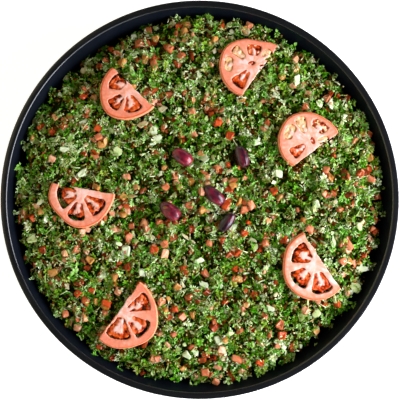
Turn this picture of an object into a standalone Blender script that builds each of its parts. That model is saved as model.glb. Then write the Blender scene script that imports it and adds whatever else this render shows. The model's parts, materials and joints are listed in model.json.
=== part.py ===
"""Tabbouleh salad, heaped in a round black serving tray and dressed with tomato half slices and olives.

It runs with blender --background --python part.py, or from Blender's text editor (Blender 4.5).
Units are metres, +Z is up, and the origin is the middle of the tray's flat underside.
"""

import math
from collections import namedtuple

import bmesh
import bpy
from mathutils import Matrix, Vector, noise

MM = 0.001
CLEARANCE = 0.4 * MM  # the gap that each piece keeps to the one it rests in
MERGE_WITHIN = 0.01 * MM

# Tray: a moulded plastic round tray with a flat rim and a turned-down lip.
TRAY_RADIUS = 203 * MM
TRAY_HEIGHT = 60 * MM
RIM_WIDTH = 6.5 * MM
RIM_THICKNESS = 2.2 * MM
LIP_DROP = 8 * MM
LIP_THICKNESS = 1.8 * MM
WALL_THICKNESS = 2.3 * MM
FLOOR_THICKNESS = 2.5 * MM
FLOOR_FILLET = 14 * MM
WALL_LEAN = math.radians(16)
TURN_STEPS = 64

# Heap of salad: a low dome whose shoulders fall to the tray's wall.
HEAP_TOP = 57.5 * MM
HEAP_EDGE = 43 * MM
SHOULDER_POWER = 13
HEAP_RINGS = 13
WALL_RINGS = 3
LUMPS = ((3.4 * MM, 38 * MM, 3.1), (1.8 * MM, 17 * MM, 8.6))  # height, spacing, seed
EDGE_LUMP = (3.0 * MM, 60 * MM, 5.4)
# Where the salad has slipped from the wall: direction and half width in degrees, and depth.
EDGE_SLIPS = (
    (126, 17, 13 * MM),
    (48, 12, 6 * MM),
    (-45, 14, 5 * MM),
    (-92, 9, 5 * MM),
    (2, 9, 3 * MM),
)

# Tomato half slices. A locule is one of the tomato's seed chambers, and its gap is horseshoe-shaped,
# because a lobe of the core reaches into it.
SLICE_THICKNESS = 6.5 * MM
SLICE_SINK = 1.6 * MM
SKIN_FLARE = 1.5 * MM  # the slice is wider below, as it is cut off the tomato's shoulder
SKIN_STEPS = 40
SKIN_STEP = 35  # degrees between the radii that a slice's outline runs through
LOCULE_STEPS = 7
LOBE_SHARE = 0.55
LEAN_AT = 10 * MM

# x, y, past_centre and radii in mm. heading is the way the round side faces, past_centre how far the cut
# misses the core, and radii run from left of the heading round to its right, every SKIN_STEP degrees.
# A locule has its middle and half width in degrees, and its nearest and furthest distance from the core in mm.
HalfSlice = namedtuple("HalfSlice", "x y heading past_centre radii locules")
HALF_SLICES = (
    HalfSlice(-73, 111, 226, 6.5, (30, 27.5, 28.6, 30.3, 28, 26.9, 27.5),
              ((60, 26, 6, 22), (-2, 18, 8.5, 23.5), (-76, 27, 5, 19.5))),
    HalfSlice(53.5, 135.5, 144, 9.0, (31, 31.6, 32.3, 32.7, 28.9, 26.5, 32.5),
              ((85, 18, 8, 25.5), (30, 15, 15, 28), (-9, 12, 12, 27), (-58, 22, 10, 22))),
    HalfSlice(111, 59, 126, 10.8, (29, 29.9, 30.3, 31, 29.1, 27.9, 30),
              ((91, 17, 7, 21.5), (28, 18, 14, 26), (-14, 12, 11, 26), (-68, 23, 12, 23.5))),
    HalfSlice(-120.5, 6, 260, 6.0, (33, 31.2, 32.7, 33.4, 30.7, 32.5, 30.8),
              ((61, 23, 6, 26), (-4, 20, 10, 27), (-73, 30, 5, 26))),
    HalfSlice(-79, -114, -36, 3.6, (34.5, 33.3, 34.7, 38.4, 36.5, 36.9, 35.5),
              ((60, 20, 7, 29), (-4, 19, 12, 31), (-64, 28, 6, 28))),
    HalfSlice(118, -64, 214, 6.5, (35.5, 37.3, 36.9, 35.2, 31.9, 32.3, 32),
              ((69, 20, 11, 31), (10, 22, 13, 29), (-65, 28, 6, 25.5))),
)

# Olives. x, y, length and width in mm; heading and pitch of the pointed end in degrees;
# sunk is the share of the width that lies in the salad.
Olive = namedtuple("Olive", "x y heading pitch length width sunk")
OLIVES = (
    Olive(-17.5, 43.5, 145, 4, 23.5, 15.5, 0.34),
    Olive(43, 44, 109, -6, 24, 13.8, 0.36),
    Olive(15, 4.5, 136, 8, 26, 14.6, 0.40),
    Olive(-30, -11.5, 142, -3, 24.5, 16.0, 0.34),
    Olive(27.8, -22.5, 54, 9, 23.5, 13.2, 0.36),
)
OLIVE_STEPS = 12
OLIVE_RINGS = 10


def clear_scene():
    for obj in list(bpy.data.objects):
        bpy.data.objects.remove(obj)


def new_collection(name):
    collection = bpy.data.collections.new(name)
    bpy.context.scene.collection.children.link(collection)
    return collection


def material(name, colour, roughness):
    made = bpy.data.materials.new(name)
    made.use_nodes = True
    shader = made.node_tree.nodes["Principled BSDF"]
    shader.inputs["Base Color"].default_value = (*colour, 1)
    shader.inputs["Roughness"].default_value = roughness
    shader.inputs["Metallic"].default_value = 0
    return made


def turned(name, outline, steps):
    """An object turned about Z from (radius, height) points, which run down its outer side."""
    mesh = bpy.data.meshes.new(name)
    corners = [(radius, 0, height) for radius, height in outline]
    mesh.from_pydata(corners, [(i, i + 1) for i in range(len(corners) - 1)], [])
    obj = bpy.data.objects.new(name, mesh)
    screw = obj.modifiers.new("Turn", "SCREW")
    screw.steps = steps
    screw.render_steps = steps
    screw.use_merge_vertices = True
    screw.merge_threshold = MERGE_WITHIN
    return obj


def plain_mesh(obj):
    """The mesh that obj's modifiers or curve make. obj itself is removed."""
    bpy.context.scene.collection.objects.link(obj)
    graph = bpy.context.evaluated_depsgraph_get()
    mesh = bpy.data.meshes.new_from_object(obj.evaluated_get(graph))
    bpy.data.objects.remove(obj)
    cage = bmesh.new()
    cage.from_mesh(mesh)
    bmesh.ops.remove_doubles(cage, verts=cage.verts, dist=MERGE_WITHIN)
    bmesh.ops.recalc_face_normals(cage, faces=cage.faces)
    cage.to_mesh(mesh)
    cage.free()
    return mesh


def prism(name, outlines, thickness):
    """The mesh of a flat plate, centred on z = 0, whose first outline is its edge and the others holes."""
    curve = bpy.data.curves.new(name, "CURVE")
    curve.dimensions = "2D"
    curve.fill_mode = "BOTH"
    curve.extrude = thickness / 2
    for outline in outlines:
        spline = curve.splines.new("POLY")
        spline.points.add(len(outline) - 1)
        for point, (x, y) in zip(spline.points, outline):
            point.co = (x, y, 0, 1)
        spline.use_cyclic_u = True
    return plain_mesh(bpy.data.objects.new(name, curve))


def rounded(corners):
    """The points of an outline whose (radius, height, fillet, steps) corners are rounded."""
    points = []
    for i, (radius, height, fillet, steps) in enumerate(corners):
        here = Vector((radius, height))
        if not fillet:
            points.append(here)
            continue
        back = (Vector(corners[i - 1][:2]) - here).normalized()
        on = (Vector(corners[i + 1][:2]) - here).normalized()
        half = back.angle(on) / 2
        centre = here + (back + on).normalized() * fillet / math.sin(half)
        start = here + back * fillet / math.tan(half) - centre
        end = here + on * fillet / math.tan(half) - centre
        points += [centre + fillet * start.slerp(end, k / steps) for k in range(steps + 1)]
    return points


def wall_radius(height):
    """Radius of the tray's inner wall, as a straight cone, at a height."""
    rim = TRAY_RADIUS - RIM_WIDTH
    return rim - (TRAY_HEIGHT - height) * math.tan(WALL_LEAN)


def make_tray():
    outer = WALL_THICKNESS / math.cos(WALL_LEAN)
    under_rim = TRAY_HEIGHT - RIM_THICKNESS
    lip_inside = TRAY_RADIUS - LIP_THICKNESS
    lip_foot = TRAY_HEIGHT - LIP_DROP
    corners = (
        (0, FLOOR_THICKNESS, 0, 0),
        (wall_radius(FLOOR_THICKNESS), FLOOR_THICKNESS, FLOOR_FILLET, 5),
        (TRAY_RADIUS - RIM_WIDTH, TRAY_HEIGHT, 1.0 * MM, 3),
        (TRAY_RADIUS, TRAY_HEIGHT, 1.6 * MM, 3),
        (TRAY_RADIUS, lip_foot, 0, 0),
        (lip_inside, lip_foot, 0, 0),
        (lip_inside, under_rim, 0, 0),
        (wall_radius(under_rim) + outer, under_rim, 0, 0),
        (wall_radius(0) + outer, 0, FLOOR_FILLET + WALL_THICKNESS, 5),
        (0, 0, 0, 0),
    )
    tray = turned("tray", rounded(corners), TURN_STEPS)
    tray.data.materials.append(material("black_plastic", (0.014, 0.014, 0.016), 0.32))
    return tray


def lump(x, y, height, spacing, seed):
    return height * noise.noise(Vector((x / spacing, y / spacing, seed)))


def dome_height(radius):
    """The heap's smooth form, with no lumps."""
    share = min(radius / wall_radius(HEAP_EDGE), 1)
    return HEAP_EDGE + (HEAP_TOP - HEAP_EDGE) * (1 - share**SHOULDER_POWER)


def edge_change(x, y):
    """How much higher or lower than usual the heap's edge is in the direction of (x, y)."""
    direction = math.degrees(math.atan2(y, x))
    slip = 0
    for middle, half_width, depth in EDGE_SLIPS:
        apart = (direction - middle + 180) % 360 - 180
        slip += depth * math.exp(-((apart / half_width) ** 2))
    rim = Vector((x, y)).normalized() * wall_radius(HEAP_EDGE)
    return lump(rim.x, rim.y, *EDGE_LUMP) - slip


def heap_outline():
    """The heap's section before it is made uneven: the floor, the wall and the dome, clear of the tray."""
    low = FLOOR_THICKNESS + CLEARANCE
    inside = CLEARANCE / math.cos(WALL_LEAN)
    floor_corner = (wall_radius(low) - inside, low, FLOOR_FILLET, 5)
    top = (wall_radius(HEAP_EDGE) - inside, HEAP_EDGE)
    bottom = rounded(((0, low, 0, 0), floor_corner, (*top, 0, 0)))[:-1]
    rise = Vector(top) - bottom[-1]
    wall = [bottom[-1] + rise * k / WALL_RINGS for k in range(1, WALL_RINGS + 1)]
    dome = []
    for k in range(1, HEAP_RINGS + 1):
        radius = top[0] * (1 - (k / HEAP_RINGS) ** 1.35)
        dome.append((radius, dome_height(radius)))
    return (bottom + wall + dome)[::-1], bottom[-1]


def make_heap():
    outline, wall_foot = heap_outline()
    heap = bpy.data.objects.new("salad_heap", plain_mesh(turned("heap", outline, TURN_STEPS)))
    edge_radius = wall_radius(HEAP_EDGE) - CLEARANCE / math.cos(WALL_LEAN)
    for vertex in heap.data.vertices:
        x, y, z = vertex.co
        radius = math.hypot(x, y)
        on_wall = radius > wall_foot.x + MERGE_WITHIN and z <= HEAP_EDGE + MERGE_WITHIN
        on_dome = z > HEAP_EDGE - MERGE_WITHIN
        if not (on_wall or on_dome):
            continue
        change = edge_change(x, y) if radius > MERGE_WITHIN else 0
        edge = HEAP_EDGE + change
        # The wall's points slide along it, so that the heap meets the tray higher here and lower there.
        if on_wall:
            up = (z - wall_foot.y) / (HEAP_EDGE - wall_foot.y)
            new_z = wall_foot.y + up * (edge - wall_foot.y)
            new_radius = radius + (new_z - z) * math.tan(WALL_LEAN)
        else:
            share = radius / edge_radius
            new_radius = radius + share * change * math.tan(WALL_LEAN)
            lumps = sum(lump(x, y, *each) for each in LUMPS)
            new_z = z + change * share**6 + lumps * (1 - share**8)
        if radius > MERGE_WITHIN:
            vertex.co = (x * new_radius / radius, y * new_radius / radius, new_z)
        else:
            vertex.co.z = new_z
    heap.data.materials.append(material("chopped_parsley", (0.11, 0.15, 0.035), 0.6))
    return heap


def polar(radius, angle):
    """A point of a slice: the angle is from its +Y, the way its round side faces."""
    return (-radius * math.sin(angle), radius * math.cos(angle))


def skin_radius(spec, angle):
    """The tomato's outline, as uneven as the fruit: a smooth curve through the slice's radii."""
    last = len(spec.radii) - 1
    at = min(max(last / 2 - math.degrees(angle) / SKIN_STEP, 0), last)
    k = min(int(at), last - 1)
    t = at - k
    before, start, end, after = (spec.radii[min(max(k + i, 0), last)] for i in (-1, 0, 1, 2))
    bend = 2 * before - 5 * start + 4 * end - after
    twist = 3 * (start - end) + after - before
    return MM * (start + t * (end - before + t * (bend + t * twist)) / 2)


def locule_outline(middle, half_width, near, far):
    """The horseshoe gap of one seed chamber: out along the wall, and back round the core's lobe."""
    steps = [k / (LOCULE_STEPS - 1) * 2 - 1 for k in range(LOCULE_STEPS)]
    outline = []
    for t in steps:
        outline.append(polar(far * (1 - 0.08 * t**4) * MM, math.radians(middle + t * half_width)))
    for t in reversed(steps):
        lobe = (far - near) * LOBE_SHARE * math.cos(math.pi / 2 * t) ** 0.7
        outline.append(polar((near + lobe) * MM, math.radians(middle + t * half_width * 0.9)))
    return outline


def skin_outline(spec, grow):
    turns = [2 * math.pi * k / SKIN_STEPS - math.pi for k in range(SKIN_STEPS)]
    return [polar(skin_radius(spec, turn) + grow, turn) for turn in turns]


def half_plane_cutter(name, spec, past_centre):
    """A block that takes away what lies past the straight cut."""
    reach = 3 * max(spec.radii) * MM
    cage = bmesh.new()
    bmesh.ops.create_cube(cage, size=1)
    shift = Matrix.Translation((0, -past_centre - reach / 2, 0))
    cage.transform(shift @ Matrix.Diagonal((reach, reach, reach, 1)))
    mesh = bpy.data.meshes.new(name)
    cage.to_mesh(mesh)
    cage.free()
    return bpy.data.objects.new(name, mesh)


def cut_with(obj, cutter, cutters):
    cutter.hide_render = True
    cutter.display_type = "WIRE"
    cutters.objects.link(cutter)
    cut = obj.modifiers.new("Cut", "BOOLEAN")
    cut.operation = "DIFFERENCE"
    cut.object = cutter


def resting_place(x, y, heading):
    """Lays a piece's XY plane on the heap's smooth form at (x, y), with its +Y to heading."""
    radius = math.hypot(x, y)
    step = 1 * MM
    slope = (dome_height(radius + step) - dome_height(radius - step)) / (2 * step)
    outward = Vector((x, y, 0)).normalized()
    up = (Vector((0, 0, 1)) - slope * outward).normalized()
    ahead = Vector((math.cos(heading), math.sin(heading), 0))
    ahead = (ahead - up * ahead.dot(up)).normalized()
    turn = Matrix((ahead.cross(up), ahead, up)).transposed().to_4x4()
    return Matrix.Translation((x, y, dome_height(radius))) @ turn


def make_half_slice(number, spec, cutters):
    name = f"tomato_slice_{number}"
    outlines = [skin_outline(spec, 0)]
    outlines += [locule_outline(*locule) for locule in spec.locules]
    half_slice = bpy.data.objects.new(name, prism(name, outlines, SLICE_THICKNESS))
    for vertex in half_slice.data.vertices:
        radius = vertex.co.xy.length
        skin = skin_radius(spec, math.atan2(-vertex.co.x, vertex.co.y))
        if vertex.co.z < 0 and radius > skin - 0.1 * MM:
            vertex.co.xy *= 1 + SKIN_FLARE / radius

    # The weight of a half slice lies off its core, so it is there that the slice follows the heap.
    heading = math.radians(spec.heading)
    lean = resting_place(
        spec.x * MM + LEAN_AT * math.cos(heading),
        spec.y * MM + LEAN_AT * math.sin(heading),
        heading,
    )
    rise = SLICE_THICKNESS / 2 - SLICE_SINK
    place = lean @ Matrix.Translation((0, -LEAN_AT, rise))
    half_slice.matrix_world = place

    past_centre = spec.past_centre * MM
    cut = half_plane_cutter(f"{name}_cut", spec, past_centre)
    cut.matrix_world = place
    cut_with(half_slice, cut, cutters)
    return half_slice, place


def make_slice_seat(number, spec, place, cutters):
    """The cutter that presses a flat seat into the heap under a half slice."""
    name = f"slice_seat_{number}"
    depth = 4 * SLICE_THICKNESS
    seat = bpy.data.objects.new(name, prism(name, [skin_outline(spec, SKIN_FLARE + CLEARANCE)], depth))
    seat.matrix_world = place @ Matrix.Translation((0, 0, depth / 2 - SLICE_THICKNESS / 2 - CLEARANCE))
    beyond = half_plane_cutter(f"{name}_cut", spec, spec.past_centre * MM + CLEARANCE)
    beyond.matrix_world = place
    cut_with(seat, beyond, cutters)
    return seat


def olive_outline(length, width, grow):
    """Half the section of an olive that points down: blunt at the stalk end, drawn to a small tip."""
    points = []
    for k in range(OLIVE_RINGS + 1):
        turn = math.pi * k / OLIVE_RINGS
        bulge = math.sin(turn) ** 0.78 * (1 + 0.07 * math.cos(turn))
        tip = 0.02 * length * max(0, -math.cos(turn)) ** 12
        height = math.cos(turn) * (length / 2 + grow) - tip
        points.append((bulge * (width / 2 + grow), height))
    points[0] = (0, points[0][1])
    points[-1] = (0, points[-1][1])
    return points


def make_olive(name, spec, grow):
    olive = turned(name, olive_outline(spec.length * MM, spec.width * MM, grow), OLIVE_STEPS)
    heading = math.radians(spec.heading)
    lift = (0.5 - spec.sunk) * spec.width * MM
    lay_down = Matrix.Rotation(math.radians(90 + spec.pitch), 4, "X")
    place = resting_place(spec.x * MM, spec.y * MM, heading)
    olive.matrix_world = place @ Matrix.Translation((0, 0, lift)) @ lay_down
    return olive


def shade(obj):
    """Round pieces are smooth with crisp edges."""
    obj.data.shade_smooth()
    obj.data.set_sharp_from_angle(angle=math.radians(40))


def main():
    clear_scene()
    parts = new_collection("tabbouleh_salad")
    cutters = new_collection("cutters")
    flesh = material("tomato_flesh", (0.80, 0.27, 0.17), 0.35)
    olive_skin = material("olive_skin", (0.07, 0.012, 0.022), 0.25)

    heap = make_heap()
    pieces = [make_tray(), heap]
    for number, spec in enumerate(HALF_SLICES, 1):
        half_slice, place = make_half_slice(number, spec, cutters)
        half_slice.data.materials.append(flesh)
        pieces.append(half_slice)
        cut_with(heap, make_slice_seat(number, spec, place, cutters), cutters)
    for number, spec in enumerate(OLIVES, 1):
        olive = make_olive(f"olive_{number}", spec, 0)
        olive.data.materials.append(olive_skin)
        pieces.append(olive)
        cut_with(heap, make_olive(f"olive_seat_{number}", spec, CLEARANCE), cutters)
    for piece in pieces:
        parts.objects.link(piece)
        shade(piece)


main()
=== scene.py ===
# %% [markdown]
# # Tabbouleh in a black serving tray
#
# A catering tray holds a heap of finely chopped tabbouleh, which is parsley, tomato, onion and bulgur.
# Six tomato half slices lie near its edge and five dark olives in the middle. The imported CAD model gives
# every size and place, so the first step is to load it and to keep its box.

# %% Frame
import json
import math
import random
from collections import namedtuple

import bmesh
import bpy
import numpy as np
from mathutils import Matrix, Vector, noise
from mathutils.bvhtree import BVHTree

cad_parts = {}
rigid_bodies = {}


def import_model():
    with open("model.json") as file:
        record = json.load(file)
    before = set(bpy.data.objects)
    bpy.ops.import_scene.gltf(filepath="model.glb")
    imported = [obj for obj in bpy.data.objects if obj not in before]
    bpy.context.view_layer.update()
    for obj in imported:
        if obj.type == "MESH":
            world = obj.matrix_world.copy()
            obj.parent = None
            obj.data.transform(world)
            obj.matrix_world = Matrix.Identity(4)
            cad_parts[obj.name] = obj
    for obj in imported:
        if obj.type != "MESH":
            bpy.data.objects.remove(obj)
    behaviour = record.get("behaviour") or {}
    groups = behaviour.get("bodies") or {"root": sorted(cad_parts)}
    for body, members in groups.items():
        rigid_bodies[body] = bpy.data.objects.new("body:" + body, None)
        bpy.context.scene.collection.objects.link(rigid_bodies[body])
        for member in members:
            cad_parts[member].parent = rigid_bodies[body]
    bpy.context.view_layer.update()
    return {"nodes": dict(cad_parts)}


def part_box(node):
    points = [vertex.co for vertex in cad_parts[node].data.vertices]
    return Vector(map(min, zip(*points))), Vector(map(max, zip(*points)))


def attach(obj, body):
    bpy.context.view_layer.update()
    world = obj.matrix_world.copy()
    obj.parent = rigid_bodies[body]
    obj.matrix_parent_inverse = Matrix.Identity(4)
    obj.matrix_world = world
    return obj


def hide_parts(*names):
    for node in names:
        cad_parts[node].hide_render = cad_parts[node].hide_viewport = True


MM = 0.001
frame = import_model()
scene = bpy.context.scene
print("CAD nodes:", sorted(frame["nodes"]))

# %% [markdown]
# ## Small helpers
#
# Colours are written as the sRGB hex values that a painter or a web page would use, and one function turns
# them into the linear values that a renderer adds up. One function adds a node to any tree, sets what it is
# given, and links whatever is a socket.


# %% Colours and nodes
def linear(hex_colour):
    """The linear RGBA of an sRGB colour such as #3C7A1E."""
    channels = [int(hex_colour[i : i + 2], 16) / 255 for i in (1, 3, 5)]
    rgb = [c / 12.92 if c <= 0.04045 else ((c + 0.055) / 1.055) ** 2.4 for c in channels]
    return (*rgb, 1)


print(f"half way in sRGB is {linear('#808080')[0]:.2f} in linear light")


def add(tree, kind, settings=None, inputs=None):
    """Adds a node, sets its properties, and sets or links its inputs, which are named or numbered."""
    node = tree.nodes.new(kind)
    for setting, value in (settings or {}).items():
        setattr(node, setting, value)
    for socket, value in (inputs or {}).items():
        if isinstance(value, bpy.types.NodeSocket):
            tree.links.new(value, node.inputs[socket])
        else:
            node.inputs[socket].default_value = value
    return node


# %% [markdown]
# Each material starts as a Principled BSDF with values typical of the real surface. Where its colour changes
# from place to place, a colour ramp turns a number such as a noise value into a colour.


# %% Materials and colour ramps
def new_material(name, base, roughness, ior=1.45, **more):
    """A Principled BSDF material. Returns it with its tree and its shader."""
    made = bpy.data.materials.new(name)
    made.use_nodes = True
    tree = made.node_tree
    shader = tree.nodes["Principled BSDF"]
    shader.inputs["Base Color"].default_value = linear(base)
    shader.inputs["Roughness"].default_value = roughness
    shader.inputs["IOR"].default_value = ior
    for socket, value in more.items():
        shader.inputs[socket.replace("_", " ")].default_value = value
    return made, tree, shader


def ramp(tree, factor, stops):
    """A colour ramp node from (place, hex colour) stops."""
    node = add(tree, "ShaderNodeValToRGB", inputs={0: factor})
    elements = node.color_ramp.elements
    while len(elements) < len(stops):
        elements.new(0.5)
    for element, (place, colour) in zip(elements, stops):
        element.position = place
        element.color = linear(colour)
    return node.outputs[0]


# %% [markdown]
# Every finished piece lies in the salad's one rigid body and may stand for CAD nodes, which are then hidden.
# Modifiers are turned into a plain mesh first.


# %% Finishing a piece
def new_object(name, mesh):
    """An object in the scene, at the origin."""
    made = bpy.data.objects.new(name, mesh)
    scene.collection.objects.link(made)
    return made


def bake_modifiers(piece):
    """Turns what the modifiers make into the piece's own mesh."""
    graph = bpy.context.evaluated_depsgraph_get()
    mesh = bpy.data.meshes.new_from_object(piece.evaluated_get(graph))
    piece.modifiers.clear()
    piece.data = mesh


def settle(piece, slot, *stands_for):
    """Gives a finished piece its body and hides the CAD nodes that it stands for. The slot is not used."""
    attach(piece, "root")
    if stands_for:
        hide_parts(*stands_for)
    triangles = sum(len(face.vertices) - 2 for face in piece.data.polygons)
    print(f"{piece.name}: {triangles} triangles")


# %% [markdown]
# A mesh comes from a list of points and a list of faces, or from a CAD node, whose mesh is loose triangles
# that have to be joined before a modifier can bend them.


# %% Meshes
JOIN_WITHIN = 0.01 * MM  # points nearer to each other than this are one point


def mesh_from(name, points, faces, smooth=True):
    """A mesh of points in metres and faces that name them by number."""
    mesh = bpy.data.meshes.new(name)
    mesh.from_pydata([tuple(p) for p in points], [], faces)
    mesh.polygons.foreach_set("use_smooth", [smooth] * len(mesh.polygons))
    mesh.update()
    return mesh


def merged_copy(node):
    """The mesh of a CAD node as one joined skin."""
    cage = bmesh.new()
    cage.from_mesh(frame["nodes"][node].data)
    bmesh.ops.remove_doubles(cage, verts=cage.verts, dist=JOIN_WITHIN)
    mesh = bpy.data.meshes.new(node)
    cage.to_mesh(mesh)
    cage.free()
    return mesh


# %% [markdown]
# ## Camera
#
# The camera looks straight down from about a metre and frames the rim. The longer the lens, the less of the
# tray's wall shows inside the rim, so the lens follows from the height and from how wide the picture is.

# %% Camera
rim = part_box("tray")[1]
RIM_TOP = rim.z
TRAY_RADIUS = rim.x
CAMERA_HEIGHT = 1.15
CAMERA_ASIDE = 0.2 * MM
FRAME_WIDTH = 0.4069  # what the picture takes in at the height of the rim
SENSOR_WIDTH = 36  # Blender gives sensors and lenses in mm

camera_data = bpy.data.cameras.new("camera")
camera_data.sensor_width = SENSOR_WIDTH
camera_data.lens = SENSOR_WIDTH * CAMERA_HEIGHT / FRAME_WIDTH
camera = bpy.data.objects.new("camera", camera_data)
camera.location = (CAMERA_ASIDE, -CAMERA_ASIDE, RIM_TOP + CAMERA_HEIGHT)
scene.collection.objects.link(camera)
scene.camera = camera
scene.view_settings.view_transform = "Standard"
print(f"lens: {camera_data.lens:.0f} mm")

# %% [markdown]
# ## Floor
#
# The tray stands on plain white card that is turned up at the sides far from it, so that a level view sees
# pale card behind the tray. Card alone would look grey beside a window this low, so it glows a little.

# %% Floor
FLOOR_SIZE = 6
BACKDROP_HEIGHT = 1.6
corners = [(x * FLOOR_SIZE, y * FLOOR_SIZE, z) for z in (0, BACKDROP_HEIGHT) for x, y in
           ((-1, -1), (1, -1), (1, 1), (-1, 1))]
walls = [(k, k + 4, (k + 1) % 4 + 4, (k + 1) % 4) for k in range(4)]
floor = new_object("floor", mesh_from("floor", corners, [(0, 1, 2, 3), *walls], smooth=False))
paper, _, shader = new_material("white_card", "#F6F6F4", 0.9)
shader.inputs["Emission Color"].default_value = linear("#FFFFFF")
shader.inputs["Emission Strength"].default_value = 0.8
floor.data.materials.append(paper)
print(f"floor: {2 * FLOOR_SIZE} m wide, with sides {BACKDROP_HEIGHT} m high")

# %% [markdown]
# ## Light
#
# A large soft window low on the right gives long soft shadows to the left and a bluish shine. A second,
# smaller pane shines from the lower right, and a warm wall far off on the left fills the shadows, so what
# lies in the shade looks yellower than what the window lights.


# %% Light
def window(name, azimuth, elevation, distance, size, power, colour):
    """A rectangular area light that faces the middle of the salad."""
    data = bpy.data.lights.new(name, "AREA")
    data.shape = "RECTANGLE"
    data.size, data.size_y = size
    data.energy = power
    data.color = linear(colour)[:3]
    light = bpy.data.objects.new(name, data)
    flat = distance * math.cos(math.radians(elevation))
    turn = math.radians(azimuth)
    light.location = (
        flat * math.cos(turn),
        flat * math.sin(turn),
        RIM_TOP + distance * math.sin(math.radians(elevation)),
    )
    light.rotation_euler = (Vector((0, 0, RIM_TOP)) - light.location).to_track_quat("-Z", "Y").to_euler()
    scene.collection.objects.link(light)
    print(f"{name}: {power} W from {azimuth} degrees, {elevation} degrees up")


window("window", -14, 27, 1.0, (1.1, 0.6), 30.5, "#EDF1FF")
window("second_pane", -57, 26, 1.2, (0.6, 0.5), 4.5, "#E4EEFF")
window("far_wall", 165, 42, 1.5, (2.4, 1.6), 10.5, "#FFF3C4")
sky = bpy.data.worlds.new("sky")
sky.use_nodes = True
sky.node_tree.nodes["Background"].inputs[0].default_value = linear("#F6F2B4")
sky.node_tree.nodes["Background"].inputs[1].default_value = 0.03
scene.world = sky

# %% [markdown]
# ## Tray
#
# Such a tray is drawn from one sheet of plastic or moulded, so one outline turned about its middle gives all
# of it: floor, fillet, leaning wall, flat rim and turned-down lip. Its sizes are those of the CAD tray. The
# corners of the outline are rounded by arcs, as moulded plastic has no sharp corner.

# %% Tray sizes
RIM_WIDTH = 6.5 * MM
RIM_THICKNESS = 2.2 * MM
LIP_DROP = 8 * MM
LIP_THICKNESS = 1.8 * MM
WALL_THICKNESS = 2.3 * MM
FLOOR_THICKNESS = 2.5 * MM
FLOOR_FILLET = 14 * MM
WALL_LEAN = math.radians(16)
TURN_STEPS = 200


def wall_radius(height):
    """Radius of the tray's inner wall at a height."""
    return TRAY_RADIUS - RIM_WIDTH - (RIM_TOP - height) * math.tan(WALL_LEAN)


def rounded(corners):
    """An outline's points, with an arc at each (radius, height, fillet, steps) corner that has a fillet."""
    points = []
    for i, (radius, height, fillet, steps) in enumerate(corners):
        here = Vector((radius, height))
        if not fillet:
            points.append(here)
            continue
        back = (Vector(corners[i - 1][:2]) - here).normalized()
        on = (Vector(corners[i + 1][:2]) - here).normalized()
        half = back.angle(on) / 2
        centre = here + (back + on).normalized() * fillet / math.sin(half)
        start = here + back * fillet / math.tan(half) - centre
        end = here + on * fillet / math.tan(half) - centre
        points += [centre + fillet * start.slerp(end, k / steps) for k in range(steps + 1)]
    return points


print(f"wall: {wall_radius(0) / MM:.0f} mm out at the foot, {wall_radius(RIM_TOP) / MM:.1f} mm at the rim")

# %% [markdown]
# The Screw modifier turns an outline about Z, with enough steps that the rim is round. It can turn a shape
# inside out, so the faces are made to point outwards once its doubled points are joined.


# %% Turning an outline
SHARP_FROM = math.radians(35)


def turned(name, outline, steps):
    """A piece turned about Z from (radius, height) points."""
    mesh = bpy.data.meshes.new(name)
    corners = [(radius, 0, height) for radius, height in outline]
    mesh.from_pydata(corners, [(i, i + 1) for i in range(len(corners) - 1)], [])
    piece = new_object(name, mesh)
    screw = piece.modifiers.new("Turn", "SCREW")
    screw.steps = screw.render_steps = steps
    screw.use_merge_vertices = True
    screw.merge_threshold = JOIN_WITHIN
    bake_modifiers(piece)
    cage = bmesh.new()
    cage.from_mesh(piece.data)
    bmesh.ops.remove_doubles(cage, verts=cage.verts, dist=JOIN_WITHIN)
    bmesh.ops.recalc_face_normals(cage, faces=cage.faces)
    cage.to_mesh(piece.data)
    cage.free()
    piece.data.shade_smooth()
    piece.data.set_sharp_from_angle(angle=SHARP_FROM)
    return piece


# %% Tray
wall_slant = WALL_THICKNESS / math.cos(WALL_LEAN)
under_rim = RIM_TOP - RIM_THICKNESS
lip_inside = TRAY_RADIUS - LIP_THICKNESS
lip_foot = RIM_TOP - LIP_DROP
tray = turned("serving_tray", rounded((
    (0, FLOOR_THICKNESS, 0, 0),
    (wall_radius(FLOOR_THICKNESS), FLOOR_THICKNESS, FLOOR_FILLET, 10),
    (TRAY_RADIUS - RIM_WIDTH, RIM_TOP, 2.2 * MM, 8),
    (TRAY_RADIUS, RIM_TOP, 0.9 * MM, 6),
    (TRAY_RADIUS, lip_foot, 0.5 * MM, 3),
    (lip_inside, lip_foot, 0.5 * MM, 3),
    (lip_inside, under_rim, 1.0 * MM, 3),
    (wall_radius(under_rim) + wall_slant, under_rim, 1.5 * MM, 4),
    (wall_radius(0) + wall_slant, 0, FLOOR_FILLET + WALL_THICKNESS, 10),
    (0, 0, 0, 0),
)), TURN_STEPS)
print(f"tray outline turned into {len(tray.data.vertices)} points")

# %% [markdown]
# The plastic is black polystyrene. It has a satin skin from the mould, so it is shinier than it is smooth,
# with faint rubbed streaks. Fine noise in the roughness gives those, and a slight bump keeps the shine alive.

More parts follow.
